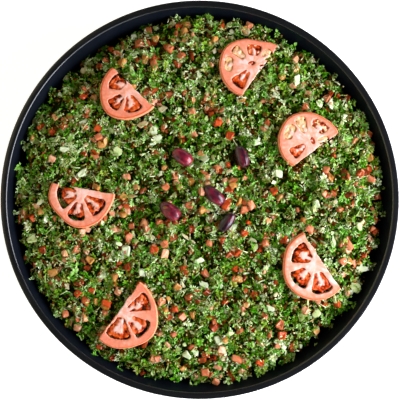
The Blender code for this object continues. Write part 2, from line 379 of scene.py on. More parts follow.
# %% Black polystyrene
black_plastic, tree, shader = new_material("moulded_black_polystyrene", "#131416", 0.22, ior=1.59)
place = add(tree, "ShaderNodeTexCoord").outputs["Object"]
rubbed = add(tree, "ShaderNodeTexNoise", inputs={"Vector": place, "Scale": 45, "Detail": 6})
rubbed_range = add(tree, "ShaderNodeMapRange",
                   inputs={0: rubbed.outputs[0], 1: 0.3, 2: 0.7, 3: 0.13, 4: 0.25})
tree.links.new(rubbed_range.outputs[0], shader.inputs["Roughness"])
grain = add(tree, "ShaderNodeTexNoise", inputs={"Vector": place, "Scale": 900, "Detail": 3})
bump = add(tree, "ShaderNodeBump",
           inputs={"Strength": 0.12, "Distance": 0.1 * MM, "Height": grain.outputs[0]})
tree.links.new(bump.outputs[0], shader.inputs["Normal"])
tray.data.materials.append(black_plastic)
print("finish:", black_plastic.name)

# %% [markdown]
# Below the rim, the inside of the wall has a darker, bluish, rougher and less shiny finish of its own. This
# is painted shade, as the wall lies in the shade of the rim and the heap, with the window's blue painted into
# it.
# Only faces that look inwards get it.

# %% Wall with painted shade
UNSHADED_BAND = 3.2 * MM  # how far below the rim the wall keeps the plain finish, above the painted shade

shaded_wall_plastic, tree, shader = new_material(
    "oil_filmed_black_polystyrene", "#060B14", 0.5, ior=1.5, Specular_IOR_Level=0.13)
place = add(tree, "ShaderNodeTexCoord").outputs["Object"]
smears = add(tree, "ShaderNodeTexNoise", inputs={"Vector": place, "Scale": 60, "Detail": 5})
smear_range = add(tree, "ShaderNodeMapRange", inputs={0: smears.outputs[0], 1: 0.3, 2: 0.7, 3: 0.4, 4: 0.65})
tree.links.new(smear_range.outputs[0], shader.inputs["Roughness"])
tray.data.materials.append(shaded_wall_plastic)
# inward faces of the wall below that band get the finish with painted shade
for face in tray.data.polygons:
    here = face.center
    faces_in = face.normal.x * here.x + face.normal.y * here.y < 0
    below_rim = FLOOR_THICKNESS < here.z < RIM_TOP - UNSHADED_BAND
    if faces_in and below_rim and math.hypot(here.x, here.y) < wall_radius(RIM_TOP):
        face.material_index = 1
settle(tray, "black_plastic", "tray")

# %% [markdown]
# ## Core of the heap
#
# Nobody sees inside the heap, so a solid core carries the loose pieces. The core lies a few millimetres under
# the top of the CAD heap, roughened with tufts, lumps and crumbs, and a second surface
# is the ground on which the loose pieces are scattered. Rays dropped on the CAD heap find its top.

# %% Reading the heap
heap_mesh = frame["nodes"]["salad_heap"].data
heap_skin = BVHTree.FromPolygons(
    [vertex.co for vertex in heap_mesh.vertices], [tuple(face.vertices) for face in heap_mesh.polygons])
RAY_START = 1  # in metres, well above the heap
SURELY_HEAP = 0.1  # a radius in metres that is well inside the heap
EDGE_WITHIN = 0.05 * MM


def heap_height(x, y):
    """Height of the heap's top at (x, y), or None beside it."""
    hit = heap_skin.ray_cast(Vector((x, y, RAY_START)), Vector((0, 0, -1)))[0]
    return hit.z if hit and hit.z > FLOOR_FILLET else None


def heap_edge(turn):
    """How far out the heap reaches in a direction."""
    near, far = SURELY_HEAP, TRAY_RADIUS
    while far - near > EDGE_WITHIN:
        middle = (near + far) / 2
        if heap_height(middle * math.cos(turn), middle * math.sin(turn)) is None:
            far = middle
        else:
            near = middle
    return near


print(f"heap: {heap_height(0, 0) / MM:.1f} mm high in the middle")
print(f"heap: {heap_edge(0) / MM:.1f} mm out to the right")

# %% [markdown]
# Chopped parsley clings together in tufts about a centimetre wide, with dark gaps between them. Voronoi cells
# give tufts: a spot's distance to the nearest cell edge says how far up its tuft it lies. Broader swells
# under them and finer crumbs on top are plain noise.

# %% Tufts and swells
TUFT_WIDTH = 10  # this one and the widths of waves are in mm
TUFT_HEIGHT = 7.2 * MM
TUFT_SHARE = 0.65  # of a tuft's height lies under the surface it belongs to, and the rest above it
SWELL_WIDTH = 17 * MM
SWELL_HEIGHT = 3.0 * MM


def waves(place, width, aside=0):
    """Smooth noise from about -1 to 1, in waves of a width, at a place in the same unit."""
    return noise.noise(place / width + Vector((0, 0, aside)))


def tuft(x, y):
    """How far up a tuft of leaf a spot is: 0 in the gaps between tufts, 1 on top of one."""
    here = Vector((x, y, 0)) / MM
    bent = here + 2.5 * Vector((waves(here, 5), waves(here, 5, 9), 0))
    near, following = noise.voronoi(bent / TUFT_WIDTH)[0][:2]
    return min(1, max(0, 2.0 * (following - near) + 0.25 * waves(here, 3))) ** 0.6


def clumps(x, y, z):
    """The clumps of leaf that the loose bits lie on."""
    swell = SWELL_HEIGHT * waves(Vector((x, y, z)), SWELL_WIDTH)
    return TUFT_HEIGHT * (tuft(x, y) - TUFT_SHARE) + swell


def rough(x, y, z):
    """Relief of chopped salad: clumps with small lumps and finer crumbs on them."""
    here = Vector((x, y, z)) / MM
    return clumps(x, y, z) + 0.9 * MM * waves(here, 2.6) + 0.5 * MM * abs(waves(here, 1.3))


def ragged(turn):
    """How far tufts stand out of the heap's edge or fall back from it, in a direction."""
    here = Vector((math.cos(turn), math.sin(turn), 0)) * TRAY_RADIUS / MM
    return 13 * MM * waves(here, 11) + 9 * MM * waves(here, 5) - 1.8 * MM


print(f"relief in the middle: {rough(0, 0, heap_height(0, 0)) / MM:.1f} mm")

# %% [markdown]
# Both surfaces are rings of points about the middle. Near the edge their reach follows the heap's outline
# with its tufts, and every point takes its height from the heap right under it.

# %% Rings over the heap
CORE_TURNS = 420
CORE_RINGS = 84
GROUND_TURNS = 600
GROUND_RINGS = 120
WALL_CLEARANCE = 6.5 * MM
EDGE_INSIDE = 0.5 * MM


def heap_surface(turns, rings, back, under, relief):
    """Rings of points over the heap, kept back from its edge and under its top."""
    points = [Vector((0, 0, heap_height(0, 0) - under))]
    furthest = wall_radius(RIM_TOP) - WALL_CLEARANCE
    for k in range(1, rings + 1):
        share = k / rings
        for j in range(turns):
            turn = 2 * math.pi * j / turns
            reach = min(edges[turns][j] - back + ragged(turn) * share**12, furthest)
            radius = reach * share**0.9
            x, y = radius * math.cos(turn), radius * math.sin(turn)
            inside = min(1, (edges[turns][j] - EDGE_INSIDE) / radius)
            z = heap_height(x * inside, y * inside) - under
            points.append(Vector((x, y, z + relief(x, y, z))))
    return points


def ring_faces(turns, rings):
    """Faces that join a middle point to rings of points, wound to face up."""
    faces = [(0, 1 + j, 1 + (j + 1) % turns) for j in range(turns)]
    for k in range(rings - 1):
        inner, outer = 1 + k * turns, 1 + (k + 1) * turns
        for j in range(turns):
            on = (j + 1) % turns
            faces.append((inner + j, outer + j, outer + on, inner + on))
    return faces


edges = {}
for turns in (CORE_TURNS, GROUND_TURNS):
    edges[turns] = [heap_edge(2 * math.pi * j / turns) for j in range(turns)]
print(f"heap reaches {min(edges[CORE_TURNS]) / MM:.1f} to {max(edges[CORE_TURNS]) / MM:.1f} mm")

# %% [markdown]
# The core is closed: its top is one of those surfaces, its side follows the tray's wall down at a small
# distance, round the fillet, and its underside is flat.

# %% Core
CORE_UNDER = 4.0 * MM
CORE_BACK = 2.2 * MM
WALL_GAP = 0.8 * MM
SIDE_RINGS = 5

core_points = heap_surface(CORE_TURNS, CORE_RINGS, CORE_BACK, CORE_UNDER, rough)
core_floor = FLOOR_THICKNESS + WALL_GAP
last_ring = core_points[-CORE_TURNS:]
side = rounded((
    (wall_radius(RIM_TOP) - WALL_GAP, RIM_TOP, 0, 0),
    (wall_radius(core_floor) - WALL_GAP, core_floor, FLOOR_FILLET, SIDE_RINGS),
    (0, core_floor, 0, 0),
))[1:-1]
for radius, height in side:
    for point in last_ring:
        flat = Vector((point.x, point.y)).normalized() * radius
        core_points.append(Vector((flat.x, flat.y, height)))
rings = CORE_RINGS + len(side)
core_faces = ring_faces(CORE_TURNS, rings)
core_points.append(Vector((0, 0, core_floor)))
first = 1 + (rings - 1) * CORE_TURNS
core_faces += [(len(core_points) - 1, first + (j + 1) % CORE_TURNS, first + j) for j in range(CORE_TURNS)]
core = new_object("salad_core", mesh_from("salad_core", core_points, core_faces))
print(f"core: {len(core_points)} points")

# %% [markdown]
# ## Packed salad
#
# What shows between the loose pieces is wet packed parsley in the shade, and its colour is painted shade:
# green so dark that it is nearly black, with brown that stands for crumbs of soaked bulgur and tomato in the
# shade. A colour ramp over noise at the size of the crumbs gives that.

# %% Packed salad
OIL_GLEAM = (0.7, 1, 0.15, 1)  # olive oil over green leaf gives back little of the window's blue
packed_in_shade, tree, shader = new_material(
    "packed_wet_parsley", "#1C2609", 0.45, Specular_IOR_Level=0.2, Specular_Tint=OIL_GLEAM)
place = add(tree, "ShaderNodeTexCoord").outputs["Object"]
crumbs = add(tree, "ShaderNodeTexNoise", inputs={"Vector": place, "Scale": 330, "Detail": 4})
# nearly black green and brown: painted shade of the gaps, over packed parsley, bulgur and tomato
colour = ramp(tree, crumbs.outputs[0], (
    (0.3, "#120400"), (0.45, "#0C1A00"), (0.56, "#163000"), (0.66, "#301600"), (0.78, "#5C2604")))
tree.links.new(colour, shader.inputs["Base Color"])
core.data.materials.append(packed_in_shade)
settle(core, "chopped_parsley", "salad_heap")

# %% [markdown]
# ## Loose bits
#
# Each kind of bit is a handful of small closed meshes at true size, which Geometry Nodes then scatter in
# thousands, so none has more than a few dozen faces. A bit's UV map says what its colour depends on: how far
# out a point lies on the bit, or how high on a die, goes into V, and U will hold a tint for each copy, partly
# random and partly painted light and shade by how far up a tuft the copy lies.

# %% Keeping bits
bits = {}
pick = random.Random(11)


def keep_bit(kind, points, faces, uvs, smooth):
    """Adds one small mesh to a kind's collection. uvs are (u, v) for each face's corners."""
    collection = bits.setdefault(kind, bpy.data.collections.new(kind))
    mesh = mesh_from(f"{kind}_{len(collection.objects)}", points, faces, smooth)
    layer = mesh.uv_layers.new(name="OFBake")
    corners = [uv for face in uvs for uv in face]
    layer.data.foreach_set("uv", [number for uv in corners for number in uv])
    bit = bpy.data.objects.new(mesh.name, mesh)
    collection.objects.link(bit)


# %% [markdown]
# Deep green scraps are dark leaf for the gaps, and their near-black green and brown are painted shade: small
# lobed flakes, ruffled along their rim. Each is a star of lobes and notches round a thin body, with the lobes
# bent down and the notches up.


# %% Flakes of leaf
def leaf_star(kind, reach, lobes, notch, ruffle, cup, squeeze, pick):
    """A scrap of curly leaf: a lobed outline ruffled up and down, with a thin body."""
    count = 2 * lobes
    rim_points, shares = [], []
    for k in range(count):
        turn = 2 * math.pi * (k + pick.uniform(-0.25, 0.25)) / count
        share = (1 if k % 2 == 0 else notch) * pick.uniform(0.75, 1.15)
        x, y = share * math.cos(turn), share * math.sin(turn) * squeeze
        z = ruffle * (1 if k % 2 else -1) * pick.uniform(0.3, 1.3) + cup * (x * x - 0.6 * y)
        rim_points.append(Vector((x, y, z)) * reach)
        shares.append(share)
    body = 0.1 * reach
    points = rim_points + [Vector((0, 0, body)), Vector((0, 0, -body))]
    faces, uvs = [], []
    for k in range(count):
        on = (k + 1) % count
        faces += [(count, k, on), (count + 1, on, k)]
        middle = ((k + 0.5) / count, 0)
        here, there = (k / count, shares[k]), ((k + 1) / count, shares[on])
        uvs += [(middle, here, there), (middle, there, here)]
    keep_bit(kind, points, faces, uvs, False)


for k in range(9):
    leaf_star("parsley_deep", pick.uniform(2.4, 3.6) * MM, (4, 5, 6)[k % 3], pick.uniform(0.35, 0.55),
              pick.uniform(0.18, 0.42), pick.uniform(-0.5, 0.6), pick.uniform(0.55, 1), pick)

# %% [markdown]
# Curly parsley that the knife has only parted keeps its feathery look. A frond is a short rib that nobody
# sees, with slim pointed lobes that fan out from it to both sides and up.


# %% Fronds
def leaf_frond(kind, reach, lobes, slim, rise, pick):
    """A scrap of curly leaf: slim lobes that fan out from a short rib, each a thin wedge with four sides."""
    points, faces, uvs = [], [], []
    for k in range(lobes):
        t = k / (lobes - 1)
        root = Vector((0.75 * t - 0.4, pick.uniform(-0.05, 0.05), rise * t * t + pick.uniform(-0.05, 0.05)))
        side = 1 if k % 2 else -1
        turn = side * (1.9 * (1 - t) + pick.uniform(-0.35, 0.35))
        length = pick.uniform(0.5, 0.9) * (1 - 0.25 * t)
        out = Vector((math.cos(turn), math.sin(turn), pick.uniform(-0.35, 0.55))) * length
        across = Vector((-math.sin(turn), math.cos(turn), 0)) * length * slim * pick.uniform(0.7, 1.3)
        fold = Vector((0, 0, length * pick.uniform(0.08, 0.22)))
        tip = root + out
        left = root + out * pick.uniform(0.35, 0.65) + across + fold
        right = root + out * pick.uniform(0.35, 0.65) - across + fold * pick.uniform(-0.6, 1.2)
        corners = [root - fold * 0.4, tip, left, right]
        if (tip - root).cross(left - root).dot(right - root) > 0:
            corners[2], corners[3] = corners[3], corners[2]
        start = len(points)
        points += [corner * reach for corner in corners]
        for face in ((0, 1, 2), (0, 3, 1), (0, 2, 3), (1, 3, 2)):
            faces.append(tuple(start + i for i in face))
            uvs.append([((0.5, 0), (0.5, 1), (0, 0.6), (1, 0.6))[i] for i in face])
    keep_bit(kind, points, faces, uvs, False)


for kind in ("parsley_green", "parsley_bright"):
    for k in range(9):
        leaf_frond(kind, pick.uniform(4.6, 6.8) * MM, (10, 11, 12)[k % 3], pick.uniform(0.16, 0.28),
                   pick.uniform(-0.3, 0.6), pick)

# %% [markdown]
# The frilled edges of the leaf come off as narrow strips that curl and twist. A ribbon has four stations from
# point to point, each a flat diamond of its own roll. Small stars of leaf are mixed among the ribbons.


# %% Frills
def leaf_ribbon(kind, length, width, curl, twist, pick):
    """A narrow curled strip of leaf: stations along it with a raised and a lowered middle, and two points."""
    stations = 4
    points = [Vector((-length / 2, 0, 0))]
    for s in range(stations):
        t = (s + 0.5) / stations
        x = (t - 0.5) * length * 0.9
        half = width / 2 * math.sin(math.pi * (0.15 + 0.7 * t)) * pick.uniform(0.7, 1.2)
        roll = twist * (t - 0.5) + pick.uniform(-0.5, 0.5)
        lift = curl * length * (0.5 - t) ** 2 * 4 + pick.uniform(-0.1, 0.1) * width
        side_way = Vector((0, math.cos(roll), math.sin(roll)))
        up_way = Vector((0, -math.sin(roll), math.cos(roll)))
        middle = Vector((x, pick.uniform(-0.15, 0.15) * width, lift))
        edge_lift = up_way * width * pick.uniform(-0.35, 0.35)
        points += [middle + side_way * half + edge_lift, middle + up_way * 0.12 * width,
                   middle - side_way * half - edge_lift, middle - up_way * 0.12 * width]
    points.append(Vector((length / 2, 0, points[-1].z)))
    faces, uvs = [], []
    last = len(points) - 1
    for s in range(-1, stations):
        for c in range(4):
            on = (c + 1) % 4
            u, u_on = c / 4, (c + 1) / 4
            v, v_on = 0.3 + 0.7 * abs(s / stations - 0.4), 0.3 + 0.7 * abs((s + 1) / stations - 0.4)
            if s == -1:
                faces.append((0, 1 + c, 1 + on))
                uvs.append(((u, 1), (u, v_on), (u_on, v_on)))
            elif s == stations - 1:
                faces.append((last, 1 + 4 * s + on, 1 + 4 * s + c))
                uvs.append(((u, 1), (u_on, v), (u, v)))
            else:
                here, there = 1 + 4 * s, 5 + 4 * s
                faces.append((here + c, there + c, there + on, here + on))
                uvs.append(((u, v), (u, v_on), (u_on, v_on), (u_on, v)))
    keep_bit(kind, points, faces, uvs, False)


for k in range(6):
    leaf_star("parsley_frill", pick.uniform(1.7, 2.6) * MM, (3, 4)[k % 2], pick.uniform(0.3, 0.5),
              pick.uniform(0.3, 0.6), pick.uniform(-0.5, 0.6), pick.uniform(0.5, 1), pick)
    leaf_ribbon("parsley_frill", pick.uniform(4.0, 7.5) * MM, pick.uniform(1.1, 1.8) * MM,
                pick.uniform(-0.15, 0.3), pick.uniform(-2.5, 2.5), pick)

# %% [markdown]
# Thin stalks are chopped along with the leaf. Each is a bent prism, shaded smooth so that it looks round.


# %% Stalks
def stalk(kind, length, width, bend, pick):
    """A piece of thin stalk: a bent prism with five sides."""
    sides, stations = 5, 3
    points, faces, uvs = [], [], []
    for s in range(stations):
        t = s / (stations - 1)
        middle = Vector(((t - 0.5) * length, bend * length * (t - t * t) * 4, 0))
        thick = width / 2 * pick.uniform(0.8, 1.15)
        for c in range(sides):
            turn = 2 * math.pi * c / sides
            points.append(middle + Vector((0, math.cos(turn), math.sin(turn))) * thick)
    for s in range(stations - 1):
        for c in range(sides):
            on = (c + 1) % sides
            here, there = s * sides, (s + 1) * sides
            faces.append((here + c, here + on, there + on, there + c))
            u, u_on, v, v_on = c / sides, (c + 1) / sides, s / 2, (s + 1) / 2
            uvs.append(((u, v), (u_on, v), (u_on, v_on), (u, v_on)))
    ends = [tuple(range(sides - 1, -1, -1)), tuple(range((stations - 1) * sides, stations * sides))]
    faces += ends
    uvs += [[(0.2 * c, 0.5 + 0.2 * (c % 2)) for c in range(sides)] for _ in ends]
    keep_bit(kind, points, faces, uvs, True)


for k in range(6):
    stalk("parsley_stalk", pick.uniform(4.5, 11) * MM, pick.uniform(0.9, 1.5) * MM,
          pick.uniform(-0.12, 0.12), pick)

# %% [markdown]
# Tomato and onion are diced with a knife, so a piece starts as a cube. Its edges are cut off a little, its
# corners are pushed out of true, and each face is dented or swollen, as wet dice are. Onion comes off in
# layers, so its pieces are thinner than they are wide.


# %% Dice
def lump_mesh(kind, size, cut, jitter, pick):
    """A diced piece: a cube with its edges cut off, each face dented or swollen, pushed out of true."""
    cage = bmesh.new()
    bmesh.ops.create_cube(cage, size=1)
    bmesh.ops.bevel(cage, geom=cage.edges[:], offset=cut, segments=1, affect="EDGES")
    wide_faces = [face for face in cage.faces if max(abs(c) for c in face.normal) > 0.99]
    middles = set(bmesh.ops.poke(cage, faces=wide_faces)["verts"])
    lean = Matrix.Rotation(pick.uniform(-0.25, 0.25), 3, "Y")
    lean = lean @ Matrix.Rotation(pick.uniform(-0.25, 0.25), 3, "X")
    corner_push = {}
    for vertex in cage.verts:
        corner = tuple(c > 0 for c in vertex.co)
        if vertex not in middles and corner not in corner_push:
            corner_push[corner] = Vector([pick.uniform(-jitter, jitter) for _ in range(3)])
    cage.verts.index_update()
    points = []
    for vertex in cage.verts:
        corner = tuple(c > 0 for c in vertex.co)
        wobble = Vector([pick.uniform(-0.03, 0.03) for _ in range(3)])
        if vertex in middles:
            pushed = lean @ (vertex.co * pick.uniform(0.8, 1.15) + 3 * wobble)
        else:
            pushed = lean @ (vertex.co + corner_push[corner] + wobble)
        points.append(Vector([a * b for a, b in zip(pushed, size)]))
    faces = [tuple(v.index for v in face.verts) for face in cage.faces]
    # V rises with a point's height on the die, with a random share, so the lighter outer ramp of the tomato
    # finish paints light on the die's top
    height_light_and_tone = [min(1, max(0, 0.5 + 0.6 * v.co.z + pick.uniform(-0.45, 0.45))) for v in cage.verts]
    uvs = [[(0.5 + 0.9 * (v.co.x if abs(face.normal.y) > 0.5 else v.co.y), height_light_and_tone[v.index] + 0.02 * v.co.x)
            for v in face.verts] for face in cage.faces]
    cage.free()
    keep_bit(kind, points, faces, uvs, False)


for k in range(10):
    size = [pick.uniform(5.2, 8.8) * MM for _ in range(3)]
    lump_mesh("tomato_dice", (size[0], size[1] * 0.9, size[2] * 0.75), 0.15, 0.2, pick)
for k in range(8):
    size = (pick.uniform(5.0, 9.5) * MM, pick.uniform(3.5, 6.5) * MM, pick.uniform(1.4, 3.0) * MM)
    lump_mesh("onion_dice", size, 0.12, 0.22, pick)

# %% [markdown]
# Soaked bulgur and the crumbs that stick together with it are plump grains of two or three millimetres.


# %% Grains
def grain_mesh(kind, length, width, pick):
    """A grain: a low ball pulled long and pushed out of true."""
    cage = bmesh.new()
    bmesh.ops.create_icosphere(cage, subdivisions=1, radius=0.5)
    points = []
    for vertex in cage.verts:
        wobble = 1 + pick.uniform(-0.18, 0.18)
        points.append(Vector((vertex.co.x * length, vertex.co.y * width, vertex.co.z * width * 0.8)) * wobble)
    faces = [tuple(v.index for v in face.verts) for face in cage.faces]
    uvs = [[(v.co.x + 0.5, v.co.y * 0.8 + v.co.z * 0.2 + 0.5) for v in face.verts] for face in cage.faces]
    cage.free()
    keep_bit(kind, points, faces, uvs, True)


for k in range(5):
    grain_mesh("bulgur", pick.uniform(2.2, 3.4) * MM, pick.uniform(1.4, 2.1) * MM, pick)

# %% [markdown]
# ## Pieces with a place of their own
#
# Most of the salad lies at random, but the larger dice on top and the tufts that stand out of its edge are
# what one recognises it by. Each is listed with x, y and size in millimetres and a letter for its tint, and
# takes one of the kind's own shapes.

# %% Places of chosen pieces
TINTS = {"b": 0.05, "r": 0.2, "s": 0.6, "p": 0.8, "a": 1.0, "g": 0.45, "w": 0.8, "c": 1.0}
CHOSEN = {
    "parsley_bright": """
    -186 34 10 g, -186 10 10 w, -190 -13 7 w, -110 -161 12 r, 29 -187 11 w, 79 171 9 g, 153 97 9 g,
    -23 187 9 w, 9 188 10 g, 188 -15 8 w, -152 112 11 g, 60 -178 10 g, -84 -176 10 r, 184 27 11 g,
    158 -108 10 g, 96 158 10 g
    """,
    "parsley_frill": """
    -9 -190 6 w, -5 -191 7 s, 190 12 5 w, -187 60 6 s, 120 -150 6 w
    """,
    "tomato_dice": """
    -45 165 9 a, -62 160 11 s, -31 154 10 s, -91 155 9 r, -47 138 9 s, -120 106 9 r, -151 42 9 p,
    -104 73 9 r, -103 64 9 s, -35 13 9 s, 19 79 9 r, 30 65 10 r, 129 31 9 s, 174 43 9 a, 175 21 9 s,
    76 9 9 r, 30 11 10 r, -167 -8 10 p, -72 -38 12 s, -47 -51 10 r, -36 -45 9 s, -35 -55 9 p,
    -161 -51 9 b, -112 -62 9 a, -74 -69 9 b, -23 -89 9 a, -150 -75 9 a, -122 -85 10 b, -124 -95 9 r,
    -95 -105 9 r, -138 -117 9 s, -126 -131 10 p, -103 -150 9 b, -25 -111 9 r, -18 -119 9 s, -43 -162 9 s,
    5 -177 10 s, 3 -10 10 a, 26 -5 9 r, 46 -10 10 s, 53 -5 9 s, 45 -34 10 r, 23 -41 9 r, 10 -44 9 s,
    37 -54 11 r, 67 -44 10 s, 112 -30 10 s, 151 -47 10 s, 108 -113 9 p, 81 -128 10 s, 84 -139 10 r,
    119 -136 9 a, 14 -130 9 b, 22 -153 10 p, 38 -162 10 s, 61 -167 9 r, 16 -187 9 s
    """,
    "onion_dice": """
    -48 70 10 w, -43 63 9 w, 5 43 10 w, 58 59 9 w, 99 122 10 w, 134 98 10 w, 23 162 9 g, -118 134 10 c,
    -119 78 10 w, -138 51 9 w, -120 27 10 w, -58 77 10 c, -84 49 10 g, -38 93 9 c, 80 27 10 w, 119 -4 9 w,
    91 -32 10 w, 32 -30 9 w, 163 -27 9 g, 167 -71 11 w, 160 -91 12 g, 72 -111 9 w, 120 -117 9 g,
    21 -143 14 w, 4 -86 9 w, -1 -62 9 w, -75 -52 12 w, -78 -56 9 w, -98 -77 10 w, -59 -74 9 w,
    -50 -38 9 c, -172 -40 12 g, -13 -159 9 w
    """,
}
print({kind: len(places.split(",")) for kind, places in CHOSEN.items()})

# %% [markdown]
# A chosen piece rests on the clumps where it lies and is joined to its kind's mesh. Joining keeps the kind
# one piece, and each piece still gets its own tint through its map.

# %% Laying chosen pieces
TINT_SHARE = 0.94  # of the map's width: the rest holds the bit's own width, as a bake needs some area
OVER_HEAP = 12 * MM  # a piece nearer to the wall than this takes the height of the heap this far in
LOW_AT_EDGE = 14 * MM
SINK = 0.6 * MM
DEEPEST = 0.4 * MM
LARGEST_LEAN = 0.5
GIVEN_WIDTH = 0.92  # of the listed width


def lay_chosen(kind, onto, pick):
    """Adds a kind's chosen pieces to a mesh, each resting on the clumps where it lies."""
    whole = bmesh.new()
    whole.from_mesh(onto)
    shapes = [bit.data for bit in bits[kind].objects]
    chosen = CHOSEN[kind].split(",")
    material_slot = onto.polygons[0].material_index
    for entry in chosen:
        x, y, wide, letter = entry.split()
        x, y, wide = float(x) * MM, float(y) * MM, float(wide) * MM
        mesh = pick.choice(shapes).copy()
        low, high = (max(reach(v.co[axis] for v in mesh.vertices) for axis in (0, 1)) for reach in (min, max))
        inside = min(1, (wall_radius(RIM_TOP) - OVER_HEAP) / math.hypot(x, y))
        top = heap_height(x * inside, y * inside) or RIM_TOP - LOW_AT_EDGE
        rest = top + max(clumps(x, y, top) - SINK, -DEEPEST)
        turn = Matrix.Rotation(pick.uniform(0, 2 * math.pi), 4, "Z")
        turn = turn @ Matrix.Rotation(pick.uniform(-LARGEST_LEAN, LARGEST_LEAN), 4, "X")
        sized = Matrix.Scale(GIVEN_WIDTH * wide / (high - low), 4)
        mesh.transform(Matrix.Translation((x, y, rest)) @ turn @ sized)
        for face in mesh.polygons:
            face.material_index = material_slot
        for corner in mesh.uv_layers["OFBake"].data:
            u, v = corner.uv
            corner.uv = TINTS[letter] * TINT_SHARE + (1 - TINT_SHARE) * u, v
        whole.from_mesh(mesh)
        bpy.data.meshes.remove(mesh)
    whole.to_mesh(onto)
    whole.free()
    print(f"{kind}: {len(chosen)} chosen pieces")


# %% [markdown]
# ## Scattering with Geometry Nodes
#
# One tree scatters any kind, and named inputs say how each kind differs. It drops points on the ground, puts
# a random bit of the kind on each, turned, tilted, lifted and scaled at random, and gives each copy a tint.

# %% Inputs of the scatter tree
SIZES = (
    ("Density", "NodeSocketFloat"),
    ("Spacing", "NodeSocketFloat"),
    ("Patch scale", "NodeSocketFloat"),
    ("Thin share", "NodeSocketFloat"),
    ("Gap share", "NodeSocketFloat"),
    ("Seed", "NodeSocketInt"),
    ("Lowest", "NodeSocketFloat"),
    ("Highest", "NodeSocketFloat"),
    ("Smallest", "NodeSocketFloat"),
    ("Largest", "NodeSocketFloat"),
    ("Tilt", "NodeSocketFloat"),
    ("Own tint", "NodeSocketFloat"),
    ("Bits", "NodeSocketCollection"),
    ("Finish", "NodeSocketMaterial"),
)

scatter = bpy.data.node_groups.new("scatter_bits", "GeometryNodeTree")
scatter.interface.new_socket(name="Ground", in_out="INPUT", socket_type="NodeSocketGeometry")
for name, socket_type in SIZES:
    scatter.interface.new_socket(name=name, in_out="INPUT", socket_type=socket_type)
scatter.interface.new_socket(name="Bits", in_out="OUTPUT", socket_type="NodeSocketGeometry")
given = add(scatter, "NodeGroupInput").outputs
print("inputs:", [name for name, _ in SIZES])

# %% [markdown]
# A stirred salad is thicker with each kind in some patches than in others. Noise thins the points in patches,
# and the ground's own rise thins them in the gaps, light leaf most of all, so light leaf stands on the tufts
# while the gaps between them stay dark: painted shade.

# %% Where bits fall
spot = add(scatter, "GeometryNodeInputPosition").outputs[0]
seed_shift = add(scatter, "ShaderNodeCombineXYZ", inputs={2: given["Seed"]}).outputs[0]
patch_spot = add(scatter, "ShaderNodeVectorMath", {"operation": "ADD"}, {0: spot, 1: seed_shift}).outputs[0]
patches = add(scatter, "ShaderNodeTexNoise",
              inputs={"Vector": patch_spot, "Scale": given["Patch scale"], "Detail": 1})
thickness = add(scatter, "ShaderNodeMapRange",
                inputs={0: patches.outputs[0], 1: 0.42, 2: 0.58, 3: given["Thin share"], 4: 1.0})
rise = add(scatter, "GeometryNodeInputNamedAttribute", {"data_type": "FLOAT"}, {"Name": "rise"}).outputs[0]
# the rise thins light bits in the gaps, which leaves the gaps dark: painted shade
fewer_in_shaded_gaps = add(scatter, "ShaderNodeMapRange",
               inputs={0: rise, 1: 0.3, 2: 0.75, 3: given["Gap share"], 4: 1.0})
share = add(scatter, "ShaderNodeMath", {"operation": "MULTIPLY"},
            {0: thickness.outputs[0], 1: fewer_in_shaded_gaps.outputs[0]})
dropped = add(scatter, "GeometryNodeDistributePointsOnFaces", {"distribute_method": "POISSON"}, {
    "Mesh": given["Ground"], "Distance Min": given["Spacing"], "Density Max": given["Density"],
    "Density Factor": share.outputs[0], "Seed": given["Seed"]})
print("nodes so far:", len(scatter.nodes))

# %% [markdown]
# Each bit is lifted along the ground's normal, tilted to any side, spun about its own axis and scaled.


# %% How each bit lies
def own_seed(offset):
    """A seed of its own for each random value, as the same seed gives every one of them the same draw."""
    return add(scatter, "ShaderNodeMath", {"operation": "ADD"}, {0: given["Seed"], 1: offset}).outputs[0]


lift = add(scatter, "FunctionNodeRandomValue", {"data_type": "FLOAT"},
           {2: given["Lowest"], 3: given["Highest"], "Seed": own_seed(100)})
lift_way = add(scatter, "ShaderNodeVectorMath", {"operation": "SCALE"},
               {0: dropped.outputs["Normal"], "Scale": lift.outputs[1]})
lifted = add(scatter, "GeometryNodeSetPosition",
             inputs={"Geometry": dropped.outputs["Points"], "Offset": lift_way.outputs[0]})
tilt_low = add(scatter, "ShaderNodeMath", {"operation": "MULTIPLY"}, {0: given["Tilt"], 1: -1.0}).outputs[0]
turn_low = add(scatter, "ShaderNodeCombineXYZ", inputs={0: tilt_low, 1: tilt_low, 2: 0.0}).outputs[0]
turn_high = add(scatter, "ShaderNodeCombineXYZ",
                inputs={0: given["Tilt"], 1: given["Tilt"], 2: 0.0}).outputs[0]
tilt = add(scatter, "FunctionNodeRandomValue", {"data_type": "FLOAT_VECTOR"},
           {0: turn_low, 1: turn_high, "Seed": own_seed(200)}).outputs[0]
spin = add(scatter, "FunctionNodeRandomValue", {"data_type": "FLOAT_VECTOR"},
           {0: (0, 0, 0), 1: (0, 0, 2 * math.pi), "Seed": own_seed(300)}).outputs[0]
tilted = add(scatter, "FunctionNodeRotateRotation", {"rotation_space": "LOCAL"},
             {0: dropped.outputs["Rotation"], 1: tilt}).outputs[0]
spun = add(scatter, "FunctionNodeRotateRotation", {"rotation_space": "LOCAL"},
           {0: tilted, 1: spin}).outputs[0]
low_size = add(scatter, "ShaderNodeCombineXYZ", inputs=dict.fromkeys(range(3), given["Smallest"])).outputs[0]
high_size = add(scatter, "ShaderNodeCombineXYZ", inputs=dict.fromkeys(range(3), given["Largest"])).outputs[0]
size = add(scatter, "FunctionNodeRandomValue", {"data_type": "FLOAT_VECTOR"},
           {0: low_size, 1: high_size, "Seed": own_seed(400)}).outputs[0]
print("nodes so far:", len(scatter.nodes))
